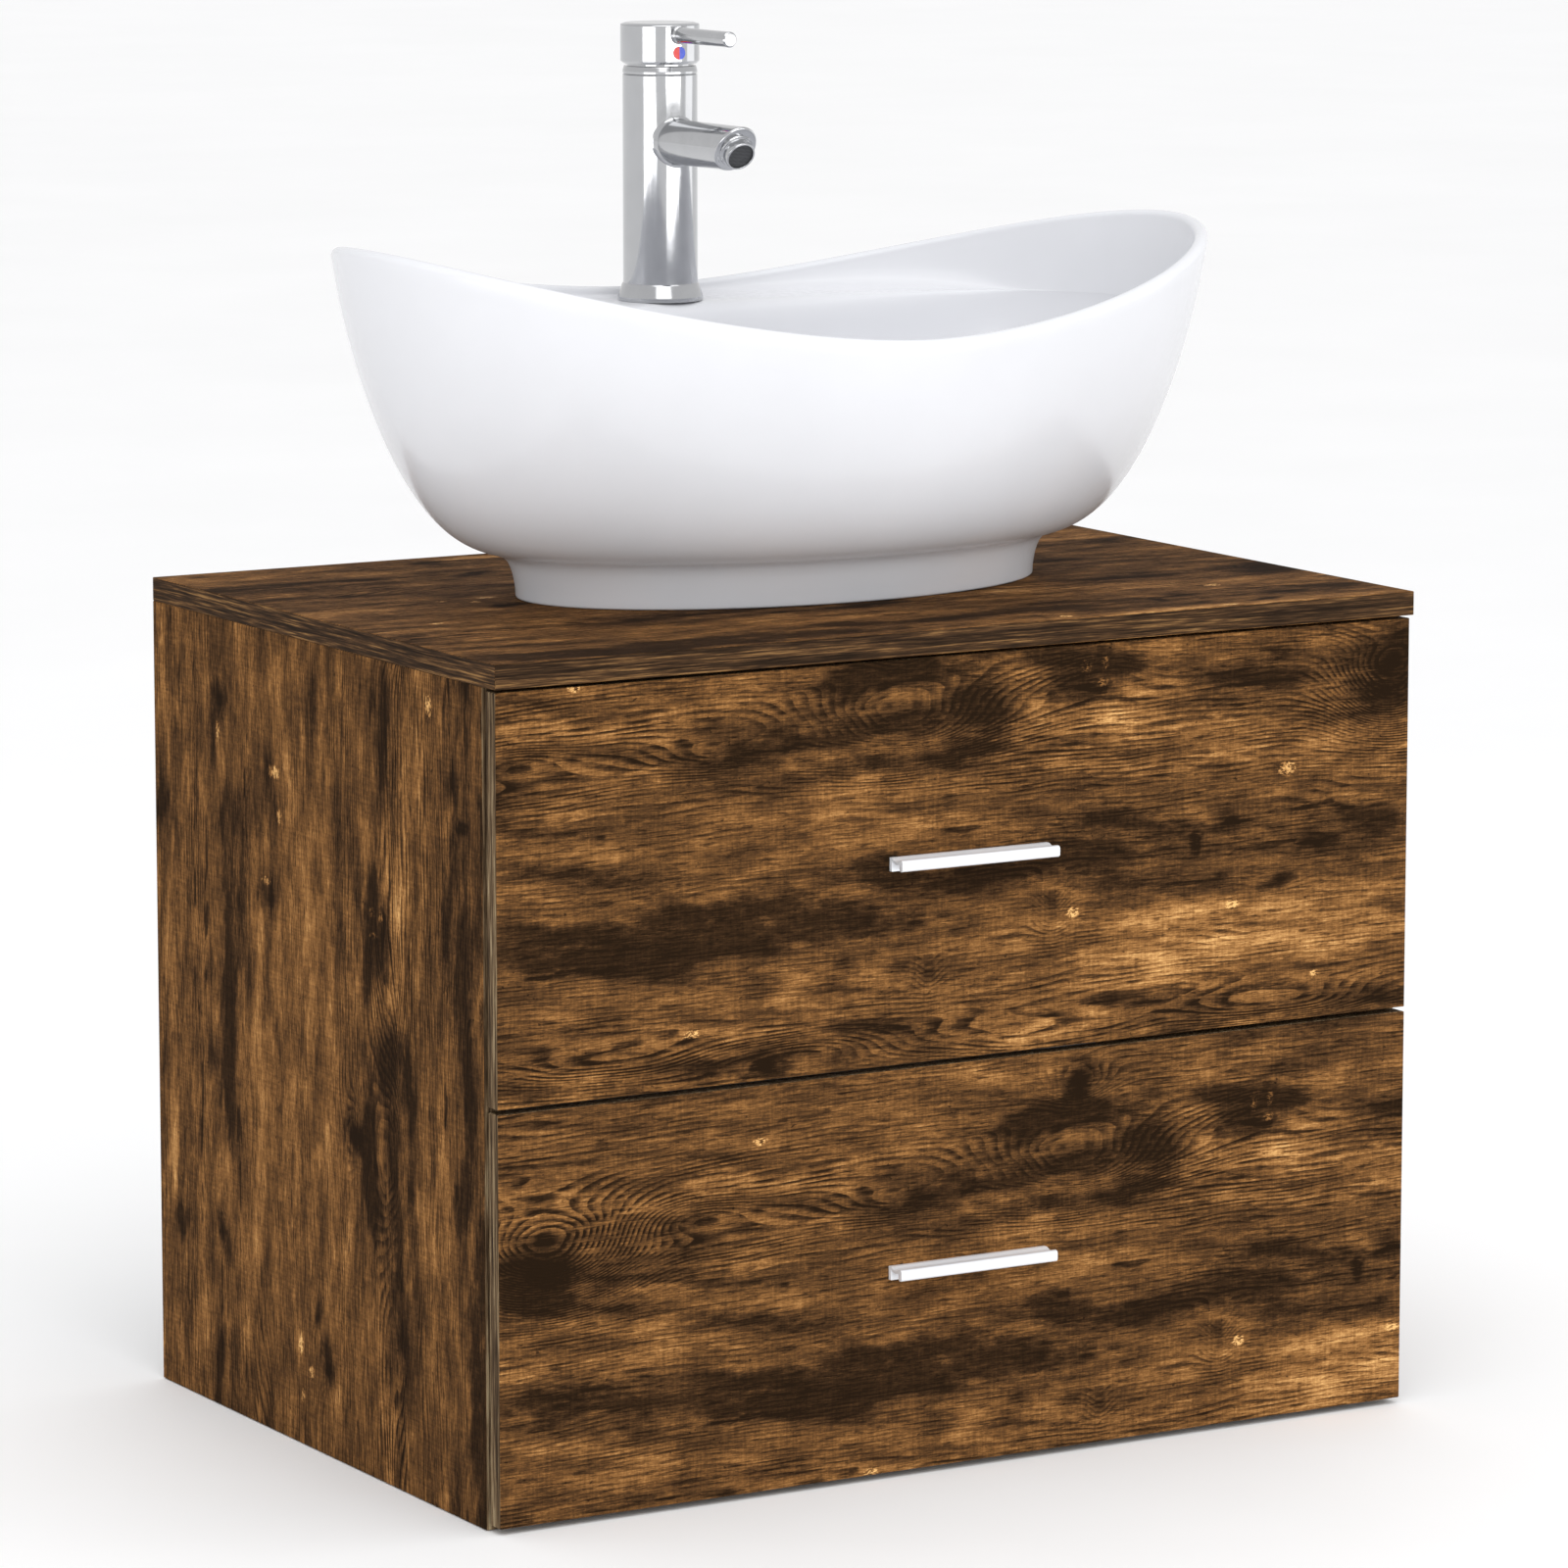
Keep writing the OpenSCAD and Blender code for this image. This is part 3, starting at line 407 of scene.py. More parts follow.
def ripple(along, across, length, height, seed):
    """A smooth random field of about unit size: the sum of a dozen waves in random directions."""
    draw = np.random.default_rng(seed)
    waves = draw.normal(size=(12, 2))
    phases = draw.uniform(0, TURN, 12)
    slope = np.outer(along / length, waves[:, 0]) + np.outer(across / height, waves[:, 1])
    return np.cos(TURN * slope + phases).sum(axis=1) / math.sqrt(6)


def mounds(along, across, spots, power=1.0):
    """The sum of amount * exp(-((du / half length)^2 + (dv / half height)^2)^power) over the spots."""
    spots = np.array(spots, float)
    reach = (((along[:, None] - spots[:, 0]) / spots[:, 2]) ** 2
             + ((across[:, None] - spots[:, 1]) / spots[:, 3]) ** 2)
    amount = spots[:, 4] if spots.shape[1] > 4 else np.ones(len(spots))
    return (amount * np.exp(-reach ** power)).sum(axis=1)


def decor_fields(along, across):
    """What the printed sheet holds at each place, in millimetres: the count of growth rings, how
    strongly they show, the brightness of the wood, and how much crack, knot heart and chip there is."""
    bent_along = along + 5 * ripple(along, across, 60, 26, 1)
    bent_across = across + 2.2 * ripple(along, across, 70, 20, 2)
    rings = (across + mounds(along, across, KNOTS) + 2.6 * ripple(along, across, 420, 90, 3)
             + 0.6 * ripple(along, across, 130, 34, 4)) / RING_WIDTH
    hearts = [(u, v, 0.36 * a, 0.5 * b) for u, v, a, b, push in KNOTS if push > 0 and a < 65]
    return {
        "rings": rings,
        "figure": 0.42 + mounds(along, across, FIGURED) + 0.16 * ripple(along, across, 120, 30, 5),
        "bright": mounds(bent_along, bent_across, PATCHES, 1.3) + 0.20 * ripple(along, across, 130, 34, 6),
        "heart": np.clip(mounds(along, across, hearts, 2), 0, 1),
        "crack": np.clip(mounds(along, bent_across, CRACKS, 1.5), 0, 1),
        "chip": np.clip(mounds(along, across, CHIPS, 1.5), 0, 1),
    }


def smoked_oak():
    """Printed oak decor: growth-ring lines, broad clouds, fine fibres and saw marks, dark stains with
    ragged edges, knots, cracks and pale chips, under a slightly embossed matt film."""
    material, tree, shader = finish_of("smoked_oak_decor", Roughness=0.7, Specular_IOR_Level=0.02)
    where = tree.nodes.new("ShaderNodeUVMap").outputs[0]
    broad = clouds(tree, where, (0.055, 0.016, 1), 1, 5, 0.62, 0.4)
    ragged = clouds(tree, where, (0.016, 0.0045, 1), 2, 5, 0.68)
    fibre = clouds(tree, where, (0.022, 0.0009, 1), 3, 3, 0.6)
    saw = clouds(tree, where, (0.0016, 0.020, 1), 4, 3, 0.6)
    grit = clouds(tree, where, (0.0024, 0.0011, 1), 5, 3, 0.7)
    wander = clouds(tree, where, (0.13, 0.012, 1), 6, 4, 0.5)
    broken = clouds(tree, where, (0.03, 0.004, 1), 7, 3, 0.6)

    count = calc(tree, "ADD", attribute(tree, "rings"), calc(tree, "MULTIPLY", wander, 0.8))
    phase = calc(tree, "FRACT", count)
    rise = remap(tree, phase, 0.25, 0.86)
    line = calc(tree, "MULTIPLY", rise, remap(tree, phase, 1.0, 0.90))
    shown = calc(tree, "MULTIPLY", attribute(tree, "figure"), remap(tree, broken, 0.32, 0.66))
    line = calc(tree, "MULTIPLY", line, shown, clamp=True)

    bright = attribute(tree, "bright")
    glow = calc(tree, "MULTIPLY_ADD", bright, 0.22, 0.485)
    tone = calc(tree, "MULTIPLY_ADD", calc(tree, "SUBTRACT", broad, 0.5), 0.85, glow)
    tone = calc(tree, "MULTIPLY_ADD", calc(tree, "SUBTRACT", ragged, 0.5), 0.50, tone)
    edge = calc(tree, "MULTIPLY_ADD", calc(tree, "SUBTRACT", ragged, 0.5), -2.2,
                calc(tree, "MULTIPLY", bright, -1.0))
    stain = remap(tree, edge, 0.40, 1.05)
    tone = calc(tree, "MULTIPLY_ADD", stain, -0.17, tone)
    tone = remap(tree, tone, 0.06, 1.0, 0.17, 0.86, smooth=False)

    tone = calc(tree, "MULTIPLY_ADD", calc(tree, "SUBTRACT", fibre, 0.5), 0.50, tone)
    tone = calc(tree, "MULTIPLY_ADD", calc(tree, "SUBTRACT", saw, 0.5), 0.20, tone)
    tone = calc(tree, "MULTIPLY_ADD", calc(tree, "SUBTRACT", grit, 0.5), 0.34, tone)
    tone = calc(tree, "MULTIPLY_ADD", line, -0.42, tone)
    tone = calc(tree, "MULTIPLY_ADD", attribute(tree, "heart"), -0.17, tone)
    dash = remap(tree, clouds(tree, where, (0.014, 0.0016, 1), 9, 3, 0.6), 0.56, 0.66)
    tone = calc(tree, "MULTIPLY_ADD", dash, -0.16, tone)
    crack = calc(tree, "MULTIPLY", attribute(tree, "crack"), remap(tree, broken, 0.3, 0.5))
    crack = remap(tree, crack, 0.25, 0.7)
    tone = calc(tree, "MULTIPLY_ADD", crack, -0.24, tone)
    speck = remap(tree, clouds(tree, where, (0.0042, 0.0028, 1), 8, 2, 0.5), 0.70, 0.77)
    tone = calc(tree, "MULTIPLY_ADD", speck, -0.2, tone)
    chip = calc(tree, "MULTIPLY", attribute(tree, "chip"), remap(tree, grit, 0.35, 0.6))
    chip = remap(tree, chip, 0.2, 0.7)
    tone = calc(tree, "MULTIPLY_ADD", chip, 0.36, tone, clamp=True)

    feed(tree, shader.inputs["Base Color"], shades(tree, tone, [
        (0.08, (34, 23, 13)), (0.24, (54, 37, 22)), (0.38, (78, 54, 32)), (0.50, (108, 74, 41)),
        (0.62, (144, 101, 57)), (0.74, (184, 136, 82)), (0.90, (232, 184, 118))]))
    feed(tree, shader.inputs["Roughness"], remap(tree, tone, 0.1, 0.9, 0.78, 0.60))
    relief = calc(tree, "MULTIPLY_ADD", fibre, 0.6, calc(tree, "MULTIPLY", line, -0.8))
    emboss(tree, shader, calc(tree, "MULTIPLY_ADD", crack, -1.0, relief), 0.00012)
    return material


def oak_banding(name, stops, along_axis):
    """Edge banding: short dark and tan streaks that run along the board's edge."""
    material, tree, shader = finish_of(name, Roughness=0.7, Specular_IOR_Level=0.05)
    where = object_place(tree)
    streak = [0.0011] * 3
    streak[along_axis] = 0.030
    stripe = [0.0022] * 3
    stripe[along_axis] = 0.120
    fine = clouds(tree, where, streak, 11, 4, 0.65)
    wide = clouds(tree, where, stripe, 12, 3, 0.6, 0.6)
    tone = calc(tree, "MULTIPLY_ADD", calc(tree, "SUBTRACT", fine, 0.5), 1.5, 0.5)
    tone = calc(tree, "MULTIPLY_ADD", calc(tree, "SUBTRACT", wide, 0.5), 1.3, tone, clamp=True)
    feed(tree, shader.inputs["Base Color"], shades(tree, tone, stops))
    emboss(tree, shader, tone, 0.0001)
    return material


DARK_BANDING = [(0.22, (34, 24, 15)), (0.45, (54, 39, 26)), (0.64, (84, 60, 38)), (0.85, (138, 104, 64))]
GREY_BANDING = [(0.20, (46, 36, 26)), (0.42, (76, 60, 43)), (0.62, (112, 92, 68)), (0.85, (156, 138, 108))]
BOARD_EASE = 0.7 * MM
GRID_ALONG = 4 * MM
GRID_ACROSS = 2.5 * MM


def ticks(low, high, step):
    """Places from one end to the other: close together round each eased end, evenly spread between."""
    near = np.array([0, 0.35, 0.7, 1, 2]) * BOARD_EASE
    count = max(2, round((high - low - 4 * BOARD_EASE) / step))
    return np.concatenate([low + near, np.linspace(low + near[-1], high - near[-1], count + 1)[1:-1],
                           (high - near)[::-1]])


def board_mesh(name, low, high, steps):
    """A board with eased edges: the surface points of a lattice, each set on the board's inner box and
    pushed out from it by the ease's radius, so that point = inner + ease * (lattice - inner) / |..|."""
    axes = [ticks(a, b, step) for a, b, step in zip(low, high, steps)]
    counts = [len(axis) for axis in axes]
    lattice = np.stack(np.meshgrid(*axes, indexing="ij"), axis=-1)
    edge = np.zeros(counts, bool)
    edge[[0, -1]] = edge[:, [0, -1]] = edge[:, :, [0, -1]] = True
    numbers = np.full(counts, -1)
    numbers[edge] = np.arange(edge.sum())
    points = lattice[edge]
    inner = np.clip(points, np.array(low) + BOARD_EASE, np.array(high) - BOARD_EASE)
    offset = points - inner
    points = inner + offset * BOARD_EASE / np.linalg.norm(offset, axis=1)[:, None]
    faces = []
    for axis in range(3):
        for end in (0, -1):
            side = np.take(numbers, end, axis=axis)
            corners = [side[:-1, :-1], side[1:, :-1], side[1:, 1:], side[:-1, 1:]]
            outwards = (end == -1) == (axis != 1)
            faces.append(np.stack([c.ravel() for c in (corners if outwards else corners[::-1])], axis=1))
    mesh = bpy.data.meshes.new(name)
    mesh.from_pydata(points.tolist(), [], np.vstack(faces).tolist())
    return mesh, points


def decor_board(node, grain, across, sheet_place, thin, banding, holes=()):
    """A board cut from the decor sheet. grain and across are its long axes, thin is its thickness axis,
    and sheet_place is where the frame's origin lies on the sheet, in millimetres."""
    low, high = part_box(node)
    steps = [0.0, 0.0, 0.0]
    steps[grain], steps[across], steps[thin] = GRID_ALONG, GRID_ACROSS, 4 * MM
    mesh, points = board_mesh(node + "_oak", low, high, steps)
    along = points[:, grain] / MM + sheet_place[0]
    over = points[:, across] / MM + sheet_place[1]
    for name, values in decor_fields(along, over).items():
        mesh.attributes.new(name, "FLOAT", "POINT").data.foreach_set("value", values.astype(np.float32))
    loops = np.zeros(len(mesh.loops), np.int32)
    mesh.loops.foreach_get("vertex_index", loops)
    place = np.stack([along, over], axis=1)[loops] * MM
    mesh.uv_layers.new(name="sheet").data.foreach_set("uv", place.astype(np.float32).ravel())
    normals = np.zeros(len(mesh.polygons) * 3)
    mesh.polygons.foreach_get("normal", normals)
    on_edge = np.abs(normals.reshape(-1, 3)[:, thin]) < 0.5
    board = bpy.data.objects.new(node + "_oak", mesh)
    bpy.context.scene.collection.objects.link(board)
    mesh.shade_smooth()
    mesh.materials.append(OAK)
    mesh.materials.append(banding)
    mesh.polygons.foreach_set("material_index", on_edge.astype(np.int32))
    if holes:
        cut(board, *[rod(f"{node}_hole_{i}", *hole) for i, hole in enumerate(holes)])
    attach(board, BODY_OF[node])
    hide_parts(node)
    return board


# ------------------------------------------------------------------ other finishes

def white_glaze():
    """Glazed sanitary ware: a soft clear gloss over a cool white body, with faint pooling."""
    material, tree, shader = finish_of("white_glaze", Roughness=0.2, Specular_IOR_Level=0.35,
                                       Coat_Weight=0.12, Coat_Roughness=0.06)
    where = object_place(tree)
    pooled = clouds(tree, where, (0.09, 0.09, 0.09), 21, 3, 0.5)
    speck = clouds(tree, where, (0.004, 0.004, 0.004), 22, 2, 0.5)
    feed(tree, shader.inputs["Base Color"], shades(tree, pooled, [
        (0.3, (219, 220, 224)), (0.7, (223, 224, 228))]))
    feed(tree, shader.inputs["Roughness"], remap(tree, speck, 0.3, 0.7, 0.18, 0.25))
    emboss(tree, shader, pooled, 0.0004, 0.3)
    return material


def chrome():
    """Bright plating over polished brass, with faint drift in its polish."""
    material, tree, shader = finish_of("polished_chrome", linear(184, 185, 187), Metallic=1.0)
    where = object_place(tree)
    drift = clouds(tree, where, (0.012, 0.012, 0.012), 31, 4, 0.6)
    feed(tree, shader.inputs["Roughness"], remap(tree, drift, 0.3, 0.7, 0.09, 0.14))
    feed(tree, shader.inputs["Base Color"], shades(tree, drift, [
        (0.3, (184, 185, 187)), (0.7, (190, 191, 193))]))
    return material


def satin_aluminium():
    """White satin lacquer over extruded aluminium, with faint draw lines along the bar."""
    material, tree, shader = finish_of("satin_aluminium", linear(236, 238, 241), Metallic=0.25)
    where = object_place(tree)
    drawn = clouds(tree, where, (0.05, 0.0004, 0.0004), 41, 3, 0.6)
    feed(tree, shader.inputs["Roughness"], remap(tree, drawn, 0.3, 0.7, 0.28, 0.38))
    feed(tree, shader.inputs["Base Color"], shades(tree, drawn, [
        (0.3, (228, 230, 234)), (0.7, (240, 242, 245))]))
    emboss(tree, shader, drawn, 0.00003, 0.5)
    return material


def plain_finish(name, dark, light, size, roughness, metallic=0.0, relief=0.0, **values):
    """A finish whose colour and gloss drift between two values in blots of the given size."""
    material, tree, shader = finish_of(name, linear(*light), Metallic=metallic, **values)
    blots = clouds(tree, object_place(tree), size, sum(map(ord, name)) % 17, 4, 0.6)
    feed(tree, shader.inputs["Base Color"], shades(tree, blots, [(0.3, dark), (0.7, light)]))
    feed(tree, shader.inputs["Roughness"], remap(tree, blots, 0.3, 0.7, *roughness))
    if relief:
        emboss(tree, shader, blots, relief)
    return material


def aerator_net():
    """Fine dark woven mesh: two sets of round grey wires at right angles, with painted shade, near black, in
    the openings between them.
    """
    material, tree, shader = finish_of("aerator_net", Roughness=0.5, Metallic=0.3)
    where = object_place(tree)
    split = tree.nodes.new("ShaderNodeSeparateXYZ")
    feed(tree, split.inputs[0], where)
    pitch = 0.9 * MM
    bars = [calc(tree, "PINGPONG", split.outputs[axis], pitch / 2) for axis in ("X", "Z")]
    wire = remap(tree, calc(tree, "MINIMUM", *bars), 0.05 * pitch, 0.16 * pitch, 1.0, 0.0)
    # Painted shade: where there is no wire, the colour is near black, standing for the shaded inside of the
    # aerator seen through the openings.
    feed(tree, shader.inputs["Base Color"], shades(tree, wire, [
        (0.0, (28, 28, 29)), (1.0, (104, 105, 108))]))
    emboss(tree, shader, wire, 0.0001)
    return material


def floor_finish():
    """Pale matt studio floor."""
    return plain_finish("pale_floor", (250, 250, 250), (252, 252, 252), (0.4, 0.4, 0.4), (0.7, 0.8))


OAK = smoked_oak()
SLAB_BANDING = oak_banding("oak_banding_front", DARK_BANDING, 0)
SIDE_BANDING = oak_banding("oak_banding_side", DARK_BANDING, 1)
UPRIGHT_BANDING = oak_banding("oak_banding_upright", GREY_BANDING, 2)
GLAZE = white_glaze()
CHROME = chrome()
ALUMINIUM = satin_aluminium()


# ------------------------------------------------------------------ basin

BASIN_LENGTH = 592 * MM
BASIN_WIDTH = 396 * MM
BASIN_HEIGHT = 223 * MM
RIM_BACK = 173.5 * MM
RIM_FRONT = 169.5 * MM
FOOT_LENGTH = 357 * MM
FOOT_WIDTH = 205 * MM
FOOT_HEIGHT = 22 * MM
FOOT_FLARE = 4 * MM
FOOT_WALL = 12 * MM
WALL = 9 * MM
WALL_START = FOOT_HEIGHT + 6 * MM
WALL_ROUND = 1.31
WALL_FILL = 2.29
RIM_POWER = 1.77
RIM_EASE = 4.5 * MM
SHELF = 167.5 * MM
SHELF_FALL = 3 * MM
SHELF_EDGE = 116 * MM
SHELF_BLEND = 10
BOWL_LOW = 36 * MM
BOWL_ROUND = 2.2
BOWL_CUT = 0.85
DRAIN = 22.5 * MM
RECESS = 33 * MM
RECESS_DEPTH = 2 * MM


def oval(half_length, half_width, t):
    """Distance from the centre to an ellipse in the direction t."""
    return half_length * half_width / np.hypot(half_width * np.cos(t), half_length * np.sin(t))


def outer_wall(t, z):
    """Radius of the outer wall: it grows from the foot's oval to the rim's by
    (1 - (1 - u)^WALL_ROUND)^(1 / WALL_FILL), where u is the share of the height."""
    u = np.clip((z - WALL_START) / (BASIN_HEIGHT - WALL_START), 0, 1)
    grown = (1 - (1 - u) ** WALL_ROUND) ** (1 / WALL_FILL)
    half_length = FOOT_LENGTH / 2 + FOOT_FLARE + (BASIN_LENGTH - FOOT_LENGTH - 2 * FOOT_FLARE) / 2 * grown
    half_width = FOOT_WIDTH / 2 + FOOT_FLARE + (BASIN_WIDTH - FOOT_WIDTH - 2 * FOOT_FLARE) / 2 * grown
    return oval(half_length, half_width, t)


def rim_height(t):
    """Height of the rim: low at the front and the back, rising by a power of x to the two tips."""
    x = oval(BASIN_LENGTH / 2, BASIN_WIDTH / 2, t) * np.cos(t) / (BASIN_LENGTH / 2)
    low = RIM_FRONT + (RIM_BACK - RIM_FRONT) * (1 + np.tanh(6 * np.sin(t))) / 2
    return low + (BASIN_HEIGHT - low) * np.abs(x) ** RIM_POWER


def shelf_radius(t):
    """Radius of the inside of the rim wall at the shelf."""
    return outer_wall(t, SHELF) - 2 * RIM_EASE - 1 * MM


def mouth_radius(t):
    """Radius of the bowl's mouth: the inside of the rim, cut off at the back by the shelf's edge."""
    rim = (shelf_radius(t) / SHELF_EDGE) ** -SHELF_BLEND
    shelf = np.maximum(0, np.sin(t)) ** SHELF_BLEND
    return SHELF_EDGE * (rim + shelf) ** (-1 / SHELF_BLEND)


def bowl_radius(t, z):
    """Radius of the bowl: it shrinks from its mouth to the drain by the curve
    ((1 - (1 - c w)^n) / (1 - (1 - c)^n))^(1 / n), where w is the share of the depth."""
    w = np.clip((z - BOWL_LOW) / (SHELF - SHELF_FALL - BOWL_LOW), 0, 1)
    share = ((1 - (1 - BOWL_CUT * w) ** BOWL_ROUND) / (1 - (1 - BOWL_CUT) ** BOWL_ROUND)) ** (1 / BOWL_ROUND)
    return DRAIN + (mouth_radius(t) - DRAIN) * share


def hollow_top(t):
    """Height at which the space between the bowl and the outer wall closes, found by halving."""
    low = np.full_like(t, BOWL_LOW)
    high = np.full_like(t, SHELF - SHELF_FALL - WALL)
    for _ in range(12):
        middle = (low + high) / 2
        open_here = outer_wall(t, middle) - bowl_radius(t, middle) > 2 * WALL + 3 * MM
        low = np.where(open_here, middle, low)
        high = np.where(open_here, high, middle)
    return (low + high) / 2


def basin_piece(steps=240):
    """The glazed shell: closed sections of (radius, height) points, one for each direction, carried
    round the centre. Each runs up the foot and the outer wall, over the rim, across the shelf, down
    the bowl into the drain, and back along the hollow underside to the foot."""
    t = np.linspace(0, TURN, steps, endpoint=False)[:, None]
    foot = oval(FOOT_LENGTH / 2, FOOT_WIDTH / 2, t)
    top = rim_height(t) - RIM_EASE
    rim_out = outer_wall(t, top)
    hollow = hollow_top(t)
    bowl_depth = SHELF - SHELF_FALL - BOWL_LOW

    def row(radius, height):
        return np.stack(np.broadcast_arrays(radius, height + 0 * t), axis=-1)

    toe = np.linspace(-90, 0, 5)[None] * math.pi / 180
    rise = np.linspace(0, 1, 7)[None, 1:]
    climb = np.linspace(0, 1, 46)[None] ** 1.9
    wall_z = WALL_START + 0.02 * MM + (top - WALL_START - 0.02 * MM) * climb
    round_rim = np.linspace(0, 180, 13)[None, 1:] * math.pi / 180
    down = np.linspace(0, 1, 9)[None, 1:]
    over = np.linspace(0, 1, 15)[None, 1:-1]
    sink = np.linspace(1, 0, 46)[None] ** 1.5
    bowl_z = BOWL_LOW + bowl_depth * sink
    bowl_r = np.maximum(bowl_radius(t, bowl_z), RECESS)
    shelf_share = over ** 0.6
    edge_fall = np.clip((shelf_share - 0.86) / 0.14, 0, 1) ** 2

    outside = np.concatenate([
        row(foot - 1.5 * MM + 1.5 * MM * np.cos(toe), 1.5 * MM + 1.5 * MM * np.sin(toe)),
        row(foot + FOOT_FLARE * rise ** 2.2, 1.5 * MM + (FOOT_HEIGHT - 1.5 * MM) * rise),
        row(outer_wall(t, wall_z), wall_z),
    ], axis=1)
    rim = row(rim_out - RIM_EASE + RIM_EASE * np.cos(round_rim), top + RIM_EASE * np.sin(round_rim))
    rim_in = rim_out - 2 * RIM_EASE
    shelf = shelf_radius(t)
    inside = np.concatenate([
        row(rim_in + (shelf - rim_in) * down, top + (SHELF - top) * down),
        row(shelf + (mouth_radius(t) - shelf) * shelf_share, SHELF - SHELF_FALL * edge_fall),
        row(bowl_r, bowl_z),
    ], axis=1)
    inside = softened(inside, 10)
    drain = np.concatenate([
        row(RECESS, BOWL_LOW - RECESS_DEPTH),
        row(DRAIN + 0.6 * MM, BOWL_LOW - RECESS_DEPTH),
        row(DRAIN, BOWL_LOW - RECESS_DEPTH - 0.6 * MM),
        row(DRAIN, BOWL_LOW - WALL),
    ], axis=1)
    share = (hollow - BOWL_LOW) / bowl_depth
    under = np.linspace(0, 1, 14)[None, 1:] ** 1.5 * share
    under_z = BOWL_LOW + bowl_depth * under
    lean = np.minimum(1, 1.5 * under / share)
    fall = np.linspace(1, 0, 14)[None] ** 1.6
    lean_out = 1 - 0.8 * np.linspace(0, 1, 14)[None]
    back_z = WALL_START + (hollow - WALL_START) * fall
    beneath = np.concatenate([
        row(bowl_radius(t, under_z) + WALL * lean, under_z - WALL * (1 - lean)),
        row(outer_wall(t, back_z) - WALL * lean_out, back_z + WALL * (1 - lean_out)),
        row(foot - FOOT_WALL, FOOT_HEIGHT + WALL - 2 * MM),
        row(foot - FOOT_WALL, 0.0),
    ], axis=1)
    outside = np.concatenate([outside[:, :5], softened(outside[:, 5:], 5)], axis=1)
    section = np.concatenate([outside, rim, inside, drain, beneath], axis=1)

    low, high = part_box("basin")
    centre = (low + high) / 2
    centre_y = (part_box("waste_flange")[0].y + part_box("waste_flange")[1].y) / 2
    radius, height = section[..., 0], section[..., 1]
    points = np.stack([centre.x + radius * np.cos(t), centre_y + radius * np.sin(t),
                       low.z + height], axis=-1)
    shell = piece("basin_shell", points, quads(steps, points.shape[1], True, True), math.radians(50))
    tap_low, tap_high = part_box("tap_base_ring")
    tap_y = (tap_low.y + tap_high.y) / 2
    overflow = (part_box("overflow_ring")[0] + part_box("overflow_ring")[1]) / 2
    cut(shell, rod("tap_hole", 17.5 * MM, (0, tap_y, tap_low.z - 40 * MM), 60 * MM),
        rod("overflow_hole", 10.9 * MM, overflow - OVERFLOW_AXIS * 8 * MM, 30 * MM, OVERFLOW_AXIS))
    return stands_for(shell, GLAZE, "basin")


def softened(rows, passes):
    """Rounds the corners of each section: every point moves to the mean of itself and its neighbours,
    several times over, with the two ends held."""
    rows = rows.copy()
    for _ in range(passes):
        rows[:, 1:-1] = (rows[:, :-2] + 2 * rows[:, 1:-1] + rows[:, 2:]) / 4
    return rows


OVERFLOW_LEAN = math.radians(-90 + 13)
OVERFLOW_AXIS = Matrix.Rotation(OVERFLOW_LEAN, 3, "X") @ Vector((0, 0, 1))


def basin_fittings():
    """The overflow's ring, the waste's flange and the push plug."""
    low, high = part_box("overflow_ring")
    middle = (low + high) / 2
    turned("overflow_trim", [(8.5 * MM, -3.5 * MM, 0.6 * MM), (13.8 * MM, -3.5 * MM, 1.2 * MM),
                             (13.8 * MM, -1.4 * MM, 0.3 * MM), (10.9 * MM, -1.4 * MM, 0),
                             (10.9 * MM, 4.6 * MM, 0.3 * MM), (8.5 * MM, 4.6 * MM, 0.3 * MM)],
           middle, OVERFLOW_AXIS, 64)
    stands_for(bpy.data.objects["overflow_trim"], CHROME, "overflow_ring")
    low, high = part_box("waste_flange")
    centre = ((low.x + high.x) / 2, (low.y + high.y) / 2, low.z)
    rim = (high.x - low.x) / 2
    turned("waste_dish", [(17.5 * MM, 0, 0.2 * MM), (rim, 0, 0.3 * MM), (rim, 1.0 * MM, 0.5 * MM),
                          (rim - 2.5 * MM, 2.4 * MM, 1.5 * MM), (rim - 8 * MM, 2.4 * MM, 2 * MM),
                          (17.5 * MM, 1.0 * MM, 0.4 * MM)], centre)
    stands_for(bpy.data.objects["waste_dish"], CHROME, "waste_flange")
    low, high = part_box("waste_plug")
    centre = ((low.x + high.x) / 2, (low.y + high.y) / 2, high.z)
    cap = (high.x - low.x) / 2
    turned("push_plug", [(0, -49.4 * MM, 0), (4 * MM, -49.4 * MM, 0.6 * MM), (4 * MM, -4.4 * MM, 0.5 * MM),
                         (cap - 1.2 * MM, -4.4 * MM, 0.5 * MM), (cap, -3.0 * MM, 0.8 * MM),
                         (cap - 1.2 * MM, -1.7 * MM, 1.0 * MM), (0.62 * cap, -0.5 * MM, 8 * MM),
                         (0, 0, 0)], centre)
    stands_for(bpy.data.objects["push_plug"], CHROME, "waste_plug")


# ------------------------------------------------------------------ tap

SPOUT_RADIUS = 14.3 * MM
SPOUT_UP = 102.5 * MM
SPOUT_REACH = 98.5 * MM
SPOUT_SLANT = math.radians(60)
SPOUT_ROOT_EASE = 2.6 * MM
SPOUT_TIP_EASE = 2.4 * MM
AERATOR_RADIUS = 9.8 * MM
AERATOR_DROP = 1.5 * MM
LEVER_UP = 170.5 * MM
LEVER_RADIUS = 5 * MM
DOT_UP = 159 * MM
CARTRIDGE_BORE = 17.5 * MM
CARTRIDGE_UP = 112 * MM
INLET_APART = 9 * MM
RELIEF_FROM = 3 * MM
RELIEF_ANGLE = math.radians(12)


